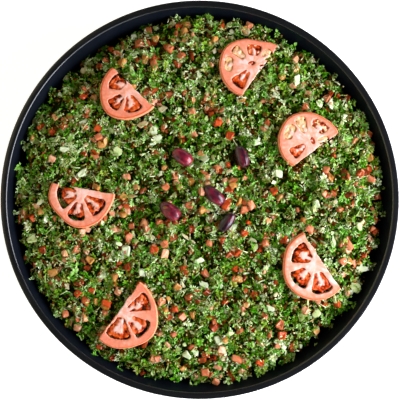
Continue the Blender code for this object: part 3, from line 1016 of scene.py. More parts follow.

# %% [markdown]
# Every point gets one of the kind's shapes and a tint. The tint is partly the bit's own, partly shared with
# its neighbours, as they come from one sprig, and lighter on the tufts than in the gaps: painted light on the
# tops and painted shade in the gaps.

# %% Which bit, and its tint
handful = add(scatter, "GeometryNodeCollectionInfo",
              inputs={"Collection": given["Bits"], "Separate Children": True, "Reset Children": True})
which = add(scatter, "FunctionNodeRandomValue", {"data_type": "INT"}, {4: 0, 5: 1000, "Seed": own_seed(500)})
placed = add(scatter, "GeometryNodeInstanceOnPoints", inputs={
    "Points": lifted.outputs[0], "Instance": handful.outputs[0], "Pick Instance": True,
    "Instance Index": which.outputs[2], "Rotation": spun, "Scale": size})
own = add(scatter, "FunctionNodeRandomValue", {"data_type": "FLOAT"},
          {2: -0.5, 3: 0.5, "Seed": own_seed(600)}).outputs[1]
instance_spot = add(scatter, "GeometryNodeInputPosition").outputs[0]
shared = add(scatter, "ShaderNodeTexNoise", inputs={"Vector": instance_spot, "Scale": 110, "Detail": 1})
shared_range = add(scatter, "ShaderNodeMapRange",
                   inputs={0: shared.outputs[0], 1: 0.3, 2: 0.7, 3: -0.22, 4: 0.28})
# tint rises with the tuft: painted light on the tops, painted shade in the gaps, plus shared noise
rise_shade_and_shared = add(scatter, "ShaderNodeMath", {"operation": "MULTIPLY_ADD"},
                {0: rise, 1: 0.85, 2: shared_range.outputs[0]})
own_share = add(scatter, "ShaderNodeMath", {"operation": "MULTIPLY"}, {0: own, 1: given["Own tint"]})
tint = add(scatter, "ShaderNodeMath", {"operation": "ADD", "use_clamp": True},
           {0: own_share.outputs[0], 1: rise_shade_and_shared.outputs[0]})
tinted = add(scatter, "GeometryNodeStoreNamedAttribute", {"data_type": "FLOAT", "domain": "INSTANCE"},
             {"Geometry": placed.outputs[0], "Name": "tint", "Value": tint.outputs[0]})
print("nodes so far:", len(scatter.nodes))

# %% [markdown]
# Copies that only exist as instances would be lost on export, so they are made real geometry. The tint then
# goes into the U of each bit's map, where its finish reads it, and the material is set last.

# %% Real geometry
real = add(scatter, "GeometryNodeRealizeInstances", inputs={0: tinted.outputs[0]})
own_tint = add(scatter, "GeometryNodeInputNamedAttribute", {"data_type": "FLOAT"}, {"Name": "tint"})
own_map = add(scatter, "GeometryNodeInputNamedAttribute", {"data_type": "FLOAT_VECTOR"}, {"Name": "OFBake"})
across = add(scatter, "ShaderNodeSeparateXYZ", inputs={0: own_map.outputs[0]})
narrow = add(scatter, "ShaderNodeMath", {"operation": "MULTIPLY"}, {0: across.outputs[0], 1: 1 - TINT_SHARE})
mapped = add(scatter, "ShaderNodeMath", {"operation": "MULTIPLY_ADD"},
             {0: own_tint.outputs[0], 1: TINT_SHARE, 2: narrow.outputs[0]})
new_map = add(scatter, "ShaderNodeCombineXYZ", inputs={0: mapped.outputs[0], 1: across.outputs[1]})
with_map = add(scatter, "GeometryNodeStoreNamedAttribute", {"data_type": "FLOAT2", "domain": "CORNER"},
               {"Geometry": real.outputs[0], "Name": "OFBake", "Value": new_map.outputs[0]})
finished = add(scatter, "GeometryNodeSetMaterial",
               inputs={"Geometry": with_map.outputs[0], "Material": given["Finish"]})
add(scatter, "NodeGroupOutput", inputs={0: finished.outputs[0]})
print(f"{scatter.name}: {len(scatter.nodes)} nodes")

# %% [markdown]
# ## Finishes of the bits
#
# Each finish reads only the bit's own map: U is its tint and V how far out the point is. One ramp colours the
# middle of the bit by its tint, another its outer parts, and V mixes the two. Food is juicy, so its index of
# refraction is near that of water, and light may seep a little way into it.


# %% A bit's finish
WATERY = 1.34
SEEP_WEIGHT = 0.6
SEEP_DEPTH = 1.6 * MM


def bit_finish(name, roughness, inner, outer, turn_at, gleam=OIL_GLEAM, shine=0.24, seep=None):
    """A material whose colour is the inner ramp of tints, and the outer ramp further out than turn_at."""
    made, tree, shader = new_material(
        name, "#808080", roughness, ior=WATERY, Specular_IOR_Level=shine, Specular_Tint=gleam)
    if seep:
        shader.inputs["Subsurface Weight"].default_value = SEEP_WEIGHT
        shader.inputs["Subsurface Radius"].default_value = seep
        shader.inputs["Subsurface Scale"].default_value = SEEP_DEPTH
    own_map = add(tree, "ShaderNodeUVMap", {"uv_map": "OFBake"})
    across = add(tree, "ShaderNodeSeparateXYZ", inputs={0: own_map.outputs[0]})
    share = add(tree, "ShaderNodeMapRange", inputs={0: across.outputs[1], 1: turn_at[0], 2: turn_at[1]})
    tint = across.outputs[0]
    mixed = add(tree, "ShaderNodeMix", {"data_type": "RGBA"},
                {0: share.outputs[0], 6: ramp(tree, tint, inner), 7: ramp(tree, tint, outer)})
    tree.links.new(mixed.outputs[2], shader.inputs["Base Color"])
    print("finish:", name)
    return made


# %% [markdown]
# A leaf is wet with oil and lemon, so it is glossy over a dull green. Chopped parsley runs from nearly black
# green and brown, which are painted shade, to pale yellow-green at its frilled edges, whose near-white end is
# painted glint. Every kind's tint rises with the tufts, so its dark tints are partly painted shade and its
# light ones partly painted light. Tomato runs from brick red at the skin through salmon to amber, onion from
# pale green to cream, and bulgur from brown to straw.

# %% Finishes of every kind
WET_GLEAM = (1, 0.97, 0.85, 1)  # juice on pale food gives back the window as it is
RED_GLEAM = (1, 0.92, 0.75, 1)  # and on tomato a little warmer
finishes = {
    # painted shade: deep leaf runs to near black and brown, for leaf, bulgur and tomato in the gaps
    "parsley_deep": bit_finish(
        "bruised_parsley", 0.4,
        ((0, "#0A1A00"), (0.3, "#183400"), (0.46, "#3C2A00"), (0.7, "#542400"), (1, "#662C04")),
        ((0, "#1E4600"), (0.3, "#305E00"), (0.46, "#624E04"), (0.7, "#84460C"), (1, "#985018")), (0.3, 1.0)),
    "parsley_green": bit_finish(
        "fresh_parsley", 0.26,
        ((0, "#164C00"), (0.4, "#2A6A00"), (0.75, "#5C7E06"), (1, "#787A10")),
        ((0, "#318802"), (0.4, "#58A412"), (0.75, "#96B83C"), (1, "#B6BE6A")), (0.2, 1.0)),
    # the near-white end of the outer ramp is painted glint
    "parsley_bright": bit_finish(
        "pale_parsley", 0.24,
        ((0, "#368808"), (0.4, "#5CA01C"), (0.75, "#90BC54"), (1, "#B4BA7A")),
        ((0, "#64B82A"), (0.4, "#A0D664"), (0.75, "#D8ECB4"), (1, "#F4FAE4")), (0.35, 1.0)),
    # the near-white end of the outer ramp is painted glint
    "parsley_frill": bit_finish(
        "frilled_parsley", 0.22,
        ((0, "#1A5A00"), (0.4, "#46880A"), (0.7, "#8CB448"), (1, "#C4C48C")),
        ((0, "#409806"), (0.4, "#8CC846"), (0.7, "#D8EAB0"), (1, "#FAFCEC")), (0.35, 1.0)),
    "parsley_stalk": bit_finish(
        "parsley_stalk_skin", 0.3,
        ((0, "#7A9A30"), (0.5, "#A6BC64"), (1, "#CCD4A0")),
        ((0, "#88A83A"), (0.5, "#B2C676"), (1, "#D8DEB4")), (0, 1)),
    # the lighter outer ramp colours the top of each die: painted light
    "tomato_dice": bit_finish(
        "diced_tomato_flesh", 0.22,
        ((0, "#581800"), (0.2, "#A43004"), (0.4, "#8E3A0C"), (0.6, "#B0542A"), (0.8, "#C07A4C"),
         (1, "#AE6C1C")),
        ((0, "#762C0C"), (0.2, "#C04C1E"), (0.4, "#A6542A"), (0.6, "#CC7C54"), (0.8, "#E4B08C"),
         (1, "#BC8638")), (0.15, 0.9), RED_GLEAM, 0.6, (1.0, 0.4, 0.2)),
    "onion_dice": bit_finish(
        "diced_white_onion", 0.22,
        ((0, "#98AA5C"), (0.4, "#BAC682"), (0.8, "#CED6AC"), (1, "#C0B080")),
        ((0, "#90A458"), (0.4, "#B6C480"), (0.8, "#D8E0BC"), (1, "#C8B88C")), (0.1, 0.9),
        WET_GLEAM, 0.5, (1.0, 1.0, 0.7)),
    "bulgur": bit_finish(
        "soaked_bulgur", 0.3,
        ((0, "#5E3C06"), (0.35, "#906C24"), (0.7, "#BAA058"), (1, "#D8C68A")),
        ((0, "#6E4810"), (0.35, "#A48034"), (0.7, "#D0B872"), (1, "#EEE2B8")), (0, 1), WET_GLEAM, 0.5),
}

# %% [markdown]
# ## The layers of the heap
#
# The ground is the surface that bits are scattered on: the heap's top with its tufts, without the fine
# crumbs. Each of its points remembers how far up a tuft it lies.

# %% Ground
GROUND_UNDER = 2.4 * MM
GROUND_BACK = 1.2 * MM
ground_points = heap_surface(GROUND_TURNS, GROUND_RINGS, GROUND_BACK, GROUND_UNDER, clumps)
ground = new_object("ground", mesh_from("ground", ground_points, ring_faces(GROUND_TURNS, GROUND_RINGS)))
rises = [tuft(v.co.x, v.co.y) for v in ground.data.vertices]
ground.data.attributes.new("rise", "FLOAT", "POINT").data.foreach_set("value", rises)
ground_area = sum(face.area for face in ground.data.polygons)
print(f"ground: {ground_area * 1e4:.0f} square centimetres")

# %% [markdown]
# A kind is scattered by a modifier with its own inputs, and the result becomes a plain mesh. Wherever a bit
# would reach through the tray, its points are moved back to the wall, as a leaf bends there.

# %% Scattering one kind
WALL_FILM = 0.3 * MM  # between the outermost bits and the wall
sockets = {item.name: item.identifier for item in scatter.interface.items_tree if item.in_out == "INPUT"}


def keep_off_the_wall(mesh):
    """Moves points that lie beyond the tray's inner wall back to it."""
    points = np.empty(len(mesh.vertices) * 3, np.float32)
    mesh.vertices.foreach_get("co", points)
    points = points.reshape(-1, 3)
    radius = np.hypot(points[:, 0], points[:, 1])
    limit = wall_radius(points[:, 2]) - WALL_FILM
    points[:, :2] *= np.minimum(1, limit / np.maximum(radius, MM))[:, None]
    mesh.vertices.foreach_set("co", points.ravel())
    mesh.update()


def scatter_kind(kind, count, seed, **sizes):
    """Scatters about count bits of a kind. sizes are the tree's other named inputs, in its own units."""
    piece = new_object(kind, ground.data)
    modifier = piece.modifiers.new("Scatter", "NODES")
    modifier.node_group = scatter
    inputs = {"Density": count / ground_area, "Seed": seed, "Bits": bits[kind], "Finish": finishes[kind]}
    inputs |= {name.replace("_", " "): value for name, value in sizes.items()}
    for name, value in inputs.items():
        modifier[sockets[name]] = value
    bake_modifiers(piece)
    if kind in CHOSEN:
        lay_chosen(kind, piece.data, random.Random(seed))
    keep_off_the_wall(piece.data)
    settle(piece, "chopped_parsley")


print("set by identifier:", sockets)

# %% [markdown]
# Deep green scraps fill the gaps, then fresh and pale ones lie on top, with the stalks, dice and grains among
# them. The counts set how much of the top each kind covers.

# %% Leaf
scatter_kind("parsley_deep", 8600, 1, Spacing=0.4 * MM, Patch_scale=30.0, Thin_share=0.7, Gap_share=0.8,
             Own_tint=0.6, Lowest=-1.5 * MM, Highest=1.0 * MM, Smallest=0.8, Largest=1.25, Tilt=0.9)
scatter_kind("parsley_green", 6700, 2, Spacing=0.4 * MM, Patch_scale=45.0, Thin_share=0.5, Gap_share=0.25,
             Own_tint=0.6, Lowest=-0.8 * MM, Highest=2.2 * MM, Smallest=0.75, Largest=1.25, Tilt=0.9)
scatter_kind("parsley_bright", 8300, 3, Spacing=0.5 * MM, Patch_scale=60.0, Thin_share=0.3, Gap_share=0.1,
             Own_tint=0.6, Lowest=-0.2 * MM, Highest=2.6 * MM, Smallest=0.7, Largest=1.15, Tilt=0.9)
scatter_kind("parsley_frill", 7000, 4, Spacing=0.4 * MM, Patch_scale=70.0, Thin_share=0.3, Gap_share=0.2,
             Own_tint=0.8, Lowest=0.2 * MM, Highest=3.0 * MM, Smallest=0.8, Largest=1.2, Tilt=1.1)
scatter_kind("parsley_stalk", 1600, 5, Spacing=1.0 * MM, Patch_scale=60.0, Thin_share=0.3, Gap_share=0.4,
             Own_tint=1.0, Lowest=0.2 * MM, Highest=2.6 * MM, Smallest=0.8, Largest=1.1, Tilt=0.45)

# %% Dice and grain
scatter_kind("tomato_dice", 1600, 6, Spacing=4.4 * MM, Patch_scale=32.0, Thin_share=0.2, Gap_share=0.6,
             Own_tint=1.0, Lowest=-1.2 * MM, Highest=1.6 * MM, Smallest=0.7, Largest=1.1, Tilt=0.7)
scatter_kind("onion_dice", 2300, 7, Spacing=3.4 * MM, Patch_scale=40.0, Thin_share=0.3, Gap_share=0.4,
             Own_tint=1.0, Lowest=-0.8 * MM, Highest=1.8 * MM, Smallest=0.45, Largest=0.9, Tilt=0.7)
scatter_kind("bulgur", 10500, 8, Spacing=0.8 * MM, Patch_scale=70.0, Thin_share=0.25, Gap_share=0.9,
             Own_tint=1.2, Lowest=0.0 * MM, Highest=2.6 * MM, Smallest=0.7, Largest=1.1, Tilt=0.6)
bpy.data.objects.remove(ground)
for collection in bits.values():
    for bit in list(collection.objects):
        bpy.data.objects.remove(bit)
    bpy.data.collections.remove(collection)

# %% [markdown]
# ## Tomato half slices
#
# A slice cut across a tomato shows a wall of firm flesh, a pale core, and thin walls from core to skin that
# part the seed chambers. In each chamber a lobe of the core carries the gel with the seeds, and as the gel
# drains, a gap opens along the wall. Those are all distances, to the skin, to a chamber's edges and to the
# gel's edge, so each slice is made as a fine grid of cells that are kept or left out by distance, with the
# same distances setting the height of the cut face and its colour. Smoothing then takes off the steps.
#
# The six slices come from several tomatoes, so each has its own outline and chambers. Some walls are paler
# than others, and the red of the skin reaches in more or less.

# %% Slice sizes
# All in mm and degrees, as the slice's own grid is. The radii run from left of the heading round to its
# right, every SKIN_STEP degrees. Angles of chambers are to the left of the heading. Pallor is how pale the
# wall is, from 0 to 1, and blush is how far in the red of the skin reaches.
HalfSlice = namedtuple("HalfSlice", "x y heading past_centre pallor blush radii chambers")
Chamber = namedtuple("Chamber", "middle half_width near far gap paleness")
HALF_SLICES = (
    HalfSlice(-73, 111, 226, 6.5, 0.0, 4.6, (30, 27.5, 28.6, 30.3, 28, 26.9, 27.5), (
        Chamber(60, 27, 5, 22.5, 0.5, 0), Chamber(-2, 19, 8, 24, 0.9, 0),
        Chamber(-86, 34, 5.5, 20.6, 0.6, 0))),
    HalfSlice(53.5, 135.5, 144, 9.0, 0.2, 1.4, (31, 31.6, 32.3, 32.7, 28.9, 26.5, 32.5), (
        Chamber(85, 19, 6, 26, 0.7, 0), Chamber(30, 17, 20, 28.6, -0.5, 0.8),
        Chamber(-9, 11, 11.5, 27.5, -0.5, 0.8), Chamber(-59, 22, 11, 23, -0.5, 0.35),
        Chamber(-45, 50, 1, 6, -1, 0), Chamber(-148, 16, 6.5, 12, -1, 0.2),
        Chamber(-105, 12, 14, 25, -2, 1))),
    HalfSlice(111, 59, 126, 10.8, 0.4, 1.2, (29, 29.9, 30.3, 31, 29.1, 27.9, 30), (
        Chamber(91, 18, 5, 22, 0.5, 0), Chamber(27, 20, 17, 26.5, -0.4, 0.8),
        Chamber(-14, 13, 9.5, 27, -0.4, 0.7), Chamber(-70, 24, 13, 24.5, -0.2, 0.5),
        Chamber(-106, 50, 1.2, 6.2, 0, 0), Chamber(-121, 13, 9, 21, -2, 1))),
    HalfSlice(-120.5, 6, 260, 6.0, 0.4, 2.8, (33, 31.2, 32.7, 33.4, 30.7, 32.5, 30.8), (
        Chamber(61, 24, 5, 26.8, 1.6, 0), Chamber(-4, 21, 9, 27.3, 3.4, 0),
        Chamber(-77, 37, 4.5, 24.8, 5.0, 0))),
    HalfSlice(-79, -114, -36, 3.6, 0.1, 1.4, (34.5, 33.3, 34.7, 38.4, 36.5, 36.9, 35.5), (
        Chamber(60, 20, 6.5, 30, 1.5, 0), Chamber(-4, 20, 11, 31.5, 2.2, 0),
        Chamber(-64, 29, 5.5, 28.5, 1.4, 0))),
    HalfSlice(118, -64, 214, 6.5, 0.6, 1.6, (35.5, 37.3, 36.9, 35.2, 31.9, 32.3, 32), (
        Chamber(69, 21, 10, 32, 2.4, 0), Chamber(10, 23, 12, 29.6, 3.2, 0),
        Chamber(-65, 30, 5.5, 25.6, 2.0, 0))),
)
SLICE_THICKNESS = 6.5
SKIN_FLARE = 1.5  # how much further the skin reaches below the cut face than at it
SKIN_STEP = 35
print("chambers:", [len(spec.chambers) for spec in HALF_SLICES])

# %% [markdown]
# A slice lies on the heap as its CAD node does. The node's upper faces say how it leans and how high
# it lies, and the slice's own x, y and heading say the rest.


# %% Where a slice lies
CUT_FACE = 0.9  # faces that look up at least this much are the cut face


def slice_frame(node, spec):
    """Where a CAD slice lies: its middle, with +Z out of its cut face and +Y the way its round side faces."""
    upper = [face for face in frame["nodes"][node].data.polygons if face.normal.z > CUT_FACE]
    area = sum(face.area for face in upper)
    up = sum((face.normal * face.area for face in upper), Vector()).normalized()
    top = sum((face.center * face.area for face in upper), Vector()) / area
    heading = math.radians(spec.heading)
    ahead = Vector((math.cos(heading), math.sin(heading), 0))
    ahead = (ahead - up * ahead.dot(up)).normalized()
    x, y = spec.x * MM, spec.y * MM
    face_middle = Vector((x, y, top.z - (up.x * (x - top.x) + up.y * (y - top.y)) / up.z))
    turn = Matrix((ahead.cross(up), ahead, up)).transposed().to_4x4()
    return Matrix.Translation(face_middle - up * SLICE_THICKNESS / 2 * MM) @ turn


SLICE_NODES = sorted(name for name in frame["nodes"] if name.startswith("tomato_slice"))
for node, spec in zip(SLICE_NODES, HALF_SLICES):
    print(f"{node}: cut face {slice_frame(node, spec).translation.z / MM + SLICE_THICKNESS / 2:.1f} mm up")

# %% [markdown]
# The distances come first. A smooth minimum of several distances gives a chamber rounded corners, and a
# smooth step turns a distance into a share. The outline is a smooth curve through a few radii.


# %% Distances across a slice
def smooth_least(first, second, blend):
    """The smaller of two distances, with the corner between them rounded."""
    share = np.clip(0.5 + 0.5 * (second - first) / blend, 0, 1)
    return second * (1 - share) + first * share - blend * share * (1 - share)


def rising(value, low, high):
    """0 below low, 1 above high, and smooth between them."""
    share = np.clip((value - low) / (high - low), 0, 1)
    return share * share * (3 - 2 * share)


def noise_over(x, y, spacing, seed):
    """Noise over a grid of points in mm, about from -1 to 1."""
    found = [noise.noise(Vector((a / spacing, b / spacing, seed))) for a, b in zip(x.ravel(), y.ravel())]
    return 1.6 * np.array(found).reshape(x.shape)


def skin_radius(spec, angle):
    """The tomato's outline, as uneven as the fruit: a smooth curve through the slice's radii."""
    radii = np.array(spec.radii)
    last = len(radii) - 1
    at = np.clip(last / 2 - np.degrees(angle) / SKIN_STEP, 0, last)
    k = np.minimum(at.astype(int), last - 1)
    t = at - k
    before, start, end, after = (radii[np.clip(k + i, 0, last)] for i in (-1, 0, 1, 2))
    bend = 2 * before - 5 * start + 4 * end - after
    twist = 3 * (start - end) + after - before
    return start + t * (end - before + t * (bend + t * twist)) / 2


middle_radii = [skin_radius(spec, np.zeros(1))[0] for spec in HALF_SLICES]
print("radii at the heading:", [f"{radius:.1f} mm" for radius in middle_radii])

# %% [markdown]
# Four fields over the slice follow from its chambers: how far inside a chamber a point lies, how far inside
# its gel, how far inside the pale lobe that the core sends into it, and whether its gel is a ripe yellow.
# Coarse, middling and fine noise bend every edge, as nothing in a tomato is straight.


# %% Chambers, gel and lobes
OUTSIDE = -9.0  # further out than any distance that matters


def chamber_fields(radius, angle, skin, waves_over, spec):
    """How far inside a chamber, its gel and its lobe points lie, and where the gel is yellow."""
    coarse, middling, fine = waves_over
    chamber = np.full(radius.shape, OUTSIDE)
    gel = np.full(radius.shape, -OUTSIDE)
    lobe = np.full(radius.shape, OUTSIDE)
    ripe = np.zeros(radius.shape)
    for each in spec.chambers:
        half_width = math.radians(each.half_width)
        off = (angle - math.radians(each.middle) + math.pi) % (2 * math.pi) - math.pi
        to_side = np.clip(half_width - np.abs(off), -math.pi / 2, math.pi / 2)
        beside = radius * np.sin(to_side) + 0.5 + 0.4 * middling
        beyond = radius * np.cos(off) - each.near
        wall = np.minimum(each.far * (1 - 0.05 * (off / half_width) ** 4), skin - 3.2) + 0.5 * coarse
        within = smooth_least(smooth_least(beside, beyond, 2.0), wall - radius, 2.2)
        here = within > chamber
        chamber = np.where(here, within, chamber)
        edge = smooth_least(wall - radius - each.gap * (1 + 0.8 * coarse), beside + 0.5 - 1.3 * middling, 1.6)
        gel = np.where(here, edge + 0.9 * middling + 0.3 * fine, gel)
        along = beyond / (each.far - each.near)
        wedge = 0.42 * radius * math.sin(half_width) + middling - np.abs(radius * np.sin(off) + 1.2 * coarse)
        lobe = np.where(here, np.minimum(wedge, (0.6 + 0.18 * coarse + 0.1 * fine - along) * 9), lobe)
        ripe = np.where(here, each.paleness, ripe)
    return chamber, gel, lobe, ripe + 0.25 * middling > 0.5


# %% [markdown]
# Tone picks the colour of a point, from gel at 0 to skin at 1. Flesh reddens towards the skin, with a blush
# of its own width. The flank beyond the outline takes tone 1, which the finish paints lighter than the skin:
# painted light on its shaded side. Gel is darkest along the edges of its chamber and of its gel, where the
# face sinks: painted shade. Yellow gel has the lowest tones of all.


# %% Tone
def flesh_tones(radius, skin, waves_over, spec):
    """The tone of flesh, by how near the skin it lies."""
    coarse, middling, fine = waves_over
    from_skin = skin - radius
    flesh = 0.7 + 0.14 * rising(radius / skin, 0.4, 0.95)
    flesh += 0.03 * coarse + 0.02 * middling + 0.015 * fine
    blush = 0.96 * rising(spec.blush - from_skin + 0.3 * coarse, -0.8 * spec.blush, spec.blush)
    # beyond the outline the flank takes tone 1, which the finish paints light orange: painted light
    return np.maximum(flesh, np.maximum(blush, rising(-from_skin, -0.3, 0.3)))


def gel_tones(chamber, gel, yellow, waves_over):
    """The tone of gel, darkest near its chamber's edge and its own edge: painted shade."""
    coarse, middling, fine = waves_over
    red = 0.34 + 0.1 * coarse + 0.13 * middling + 0.08 * fine
    red -= 0.2 * rising(1.4 - np.minimum(gel, chamber), 0, 1.3)
    straw = np.clip(0.1 - 0.1 * rising(1.4 - chamber, 0, 1.3) + 0.04 * middling, 0, 0.1)
    return np.where(yellow, straw, np.clip(red, 0.14, 0.5))


# %% [markdown]
# The core is pale, with threads that run out from it, and so are the lobes and some of the yellow gel. The
# threads are noise that is stretched outwards, the more the further out it lies.


# %% Paleness
def paleness(x, y, seed, skin, shares, yellow, chamber, waves_over, spec):
    """How far a point is mixed with cream pink, from 0 to 1."""
    coarse, middling, fine = waves_over
    in_chamber, of_lobe = shares
    radius = np.hypot(x, y)
    stretch = (8 + 0.15 * radius) / np.maximum(radius, 1)
    threads = noise_over(x * stretch, y * stretch, 1, seed + 3)
    in_flesh = 0.75 * (1 - rising(radius / skin, 0.2, 0.85)) + 0.3 * coarse + 0.2 * middling + 0.24 * threads
    in_flesh += spec.pallor * rising(radius / skin, 0.3, 0.7) * rising(skin - radius, 0.4, 3.4)
    in_yellow = yellow * rising(chamber, 0.6, 1.8) * (0.2 + 0.5 * fine + 0.3 * middling)
    in_gel = np.maximum(0.9 * of_lobe, in_yellow)
    mixed = np.clip(in_flesh * (1 - in_chamber) + in_gel * in_chamber, 0, 1)
    return mixed * rising(skin - radius, 0.2, 2.4)


# %% [markdown]
# The cut face is nearly flat where there is flesh, sinks into the chambers with small bumps, and rounds down
# over the skin. Where gel meets the knife it has run out, so those cells are left open.


# %% Height of the cut face
def face_height(from_skin, chamber, gel, of_lobe, waves_over):
    """Height in mm above the middle of the slice's thickness."""
    coarse, middling, fine = waves_over
    height = np.full(from_skin.shape, SLICE_THICKNESS / 2) + 0.1 * coarse
    sunk = rising(chamber, -0.6, 1.2)
    height -= (1.0 - 0.8 * of_lobe) * sunk
    height += (0.5 * middling + 0.25 * fine) * sunk * (1 - 0.7 * of_lobe)
    height -= 1.2 * sunk * rising(1.0 - gel, 0, 1.0)
    down = np.clip((0.4 - from_skin) / (SKIN_FLARE + 0.4), 0, 1)
    return height - (SLICE_THICKNESS - 0.6) * (1 - np.sqrt(1 - down**2)) ** 1.15


def slice_fields(x, y, spec, number):
    """For points in mm: kept or not, height of the cut face, tone (gel 0 to skin 1) and paleness."""
    seed = 7.3 * number
    waves_over = tuple(noise_over(x, y, spacing, seed) for spacing in (7, 3.2, 1.6))
    radius, angle = np.hypot(x, y), np.arctan2(-x, y)
    skin = skin_radius(spec, angle)
    chamber, gel, lobe, yellow = chamber_fields(radius, angle, skin, waves_over, spec)
    in_chamber = rising(chamber, -0.1, 0.35)
    of_lobe = rising(lobe, -0.9, 0.9)
    flesh, juice = flesh_tones(radius, skin, waves_over, spec), gel_tones(chamber, gel, yellow, waves_over)
    tone = flesh * (1 - in_chamber) + juice * in_chamber
    pale = paleness(x, y, seed, skin, (in_chamber, of_lobe), yellow, chamber, waves_over, spec)
    height = face_height(skin - radius, chamber, gel, of_lobe, waves_over)
    run_out = (y < 2.6 + 1.5 * waves_over[1] - spec.past_centre) & (in_chamber * (1 - of_lobe) > 0.3)
    kept = (radius < skin + SKIN_FLARE) & ((chamber <= 0.1) | (gel > 0)) & ~run_out
    return kept, height, np.clip(tone, 0, 1), pale


def knife_line(x, number):
    """How far the cut through the slice strays from straight, in mm."""
    return 0.4 + 0.9 * noise_over(x, 0 * x, 9, number) + 0.35 * noise_over(x, 0 * x, 2.6, number)


# %% [markdown]
# The grid's rows start on the straight cut. Cells that touch only at a corner would leave a mesh that no wall
# closes, so one cell beside them is filled, and loose islands of gel are dropped. What is kept gets a top at
# its height, a flat underside and walls along every edge.


# %% Cells that hang together
GRID_STEP = 0.5  # in mm


def tidy_cells(kept):
    """Fills cells beside corner contacts, then keeps the largest set of cells that hang together."""
    for _ in range(4):
        a, b, c, d = kept[:-1, :-1], kept[:-1, 1:], kept[1:, :-1], kept[1:, 1:]
        falling, climbing = a & d & ~b & ~c, b & c & ~a & ~d
        kept[:-1, 1:] |= falling
        kept[:-1, :-1] |= climbing
    left = {tuple(cell) for cell in np.argwhere(kept)}
    islands = []
    while left:
        island, edge = set(), [left.pop()]
        while edge:
            i, j = edge.pop()
            island.add((i, j))
            for near in ((i + 1, j), (i - 1, j), (i, j + 1), (i, j - 1)):
                if near in left:
                    left.remove(near)
                    edge.append(near)
        islands.append(island)
    return max(islands, key=len)


# %% Slice meshes
KNIFE_REACH = 2.5  # in mm, how far into the slice the wavy cut bends the rows of cells


def slice_mesh(name, spec, number):
    """A half slice in its own frame, with its tone and paleness as attributes."""
    reach = max(spec.radii) + SKIN_FLARE + GRID_STEP
    across = int(2 * reach / GRID_STEP)
    ahead = int((reach + spec.past_centre) / GRID_STEP)
    columns = [-reach + i * GRID_STEP for i in range(across + 1)]
    rows = [-spec.past_centre + j * GRID_STEP for j in range(ahead + 1)]
    x, y = np.meshgrid(columns, rows)
    y += knife_line(x, number) * np.exp(-(y + spec.past_centre) / KNIFE_REACH)
    mid_x, mid_y = ((each[:-1, :-1] + each[1:, :-1] + each[:-1, 1:] + each[1:, 1:]) / 4 for each in (x, y))
    kept = slice_fields(mid_x, mid_y, spec, number)[0]
    cells = tidy_cells(kept)
    _, height, tone, pale = slice_fields(x, y, spec, number)
    corners = sorted({(j + dj, i + di) for j, i in cells for dj in (0, 1) for di in (0, 1)})
    index = {corner: k for k, corner in enumerate(corners)}
    count = len(corners)
    points = [Vector((x[c], y[c], height[c])) * MM for c in corners]
    points += [Vector((x[c], y[c], -SLICE_THICKNESS / 2)) * MM for c in corners]
    faces = []
    for j, i in cells:
        a, b, c, d = (index[key] for key in ((j, i), (j, i + 1), (j + 1, i + 1), (j + 1, i)))
        faces += [(a, b, c, d), (d + count, c + count, b + count, a + count)]
        sides = ((j - 1, i), a, b), ((j, i + 1), b, c), ((j + 1, i), c, d), ((j, i - 1), d, a)
        for near, first, second in sides:
            if near not in cells:
                faces.append((first, first + count, second + count, second))
    mesh = mesh_from(name, points, faces)
    for kind, field in (("tone", tone), ("pale", pale)):
        stored = mesh.attributes.new(kind, "FLOAT", "POINT")
        stored.data.foreach_set("value", [field[c] for c in corners] * 2)
    return mesh


# %% [markdown]
# Fresh cut tomato is firm, wet and lets light a few millimetres in, which lifts its shadows to a warm pink.
# The tone sets its colour, from dark orange gel over salmon flesh to a red-orange skin, and the paleness
# mixes in the cream pink of the core and its threads. The near-black gel tones are painted shade in the
# gel's grooves, and the flank's light orange at tone 1 is painted light. The gel is the glossiest, and the
# flesh has the faint glitter of cut cells.

# %% Tomato flesh
flesh, tree, shader = new_material(
    "fresh_cut_tomato", "#F08A6C", 0.3, ior=1.36, Subsurface_Weight=0.4, Subsurface_Scale=4 * MM)
shader.inputs["Subsurface Radius"].default_value = (1.0, 0.35, 0.2)
tone = add(tree, "ShaderNodeAttribute", {"attribute_name": "tone"}).outputs["Fac"]
place = add(tree, "ShaderNodeTexCoord").outputs["Object"]
# tone 0.13 to 0.2, near black, is painted shade in the gel's grooves; tone 1 is painted light on the flank
colour = ramp(tree, tone, (
    (0, "#8A4E14"), (0.05, "#C88A40"), (0.1, "#EFC890"), (0.13, "#2A0E00"), (0.2, "#641600"),
    (0.31, "#BC3800"), (0.44, "#DC6018"), (0.55, "#E88660"), (0.7, "#EC9274"), (0.84, "#E88868"),
    (0.9, "#DE7048"), (0.96, "#CC5C2C"), (1, "#FF9C70")))
pale = add(tree, "ShaderNodeAttribute", {"attribute_name": "pale"}).outputs["Fac"]
pale_flesh = ramp(tree, pale, ((0.4, "#F0B094"), (1, "#F7CABE")))
mixed = add(tree, "ShaderNodeMix", {"data_type": "RGBA"}, {0: pale, 6: colour, 7: pale_flesh})
colour = mixed.outputs[2]
mottle = add(tree, "ShaderNodeTexNoise", inputs={"Vector": place, "Scale": 420, "Detail": 3})
mottle_range = add(tree, "ShaderNodeMapRange", inputs={0: mottle.outputs[0], 1: 0.3, 2: 0.7, 3: 0.9, 4: 1.08})
mottled = add(tree, "ShaderNodeVectorMath", {"operation": "SCALE"},
              {0: colour, "Scale": mottle_range.outputs[0]})
tree.links.new(mottled.outputs[0], shader.inputs["Base Color"])
wetness = add(tree, "ShaderNodeMapRange", inputs={0: tone, 1: 0.2, 2: 0.6, 3: 0.22, 4: 0.48})
tree.links.new(wetness.outputs[0], shader.inputs["Roughness"])
cells = add(tree, "ShaderNodeTexNoise", inputs={"Vector": place, "Scale": 900, "Detail": 2})
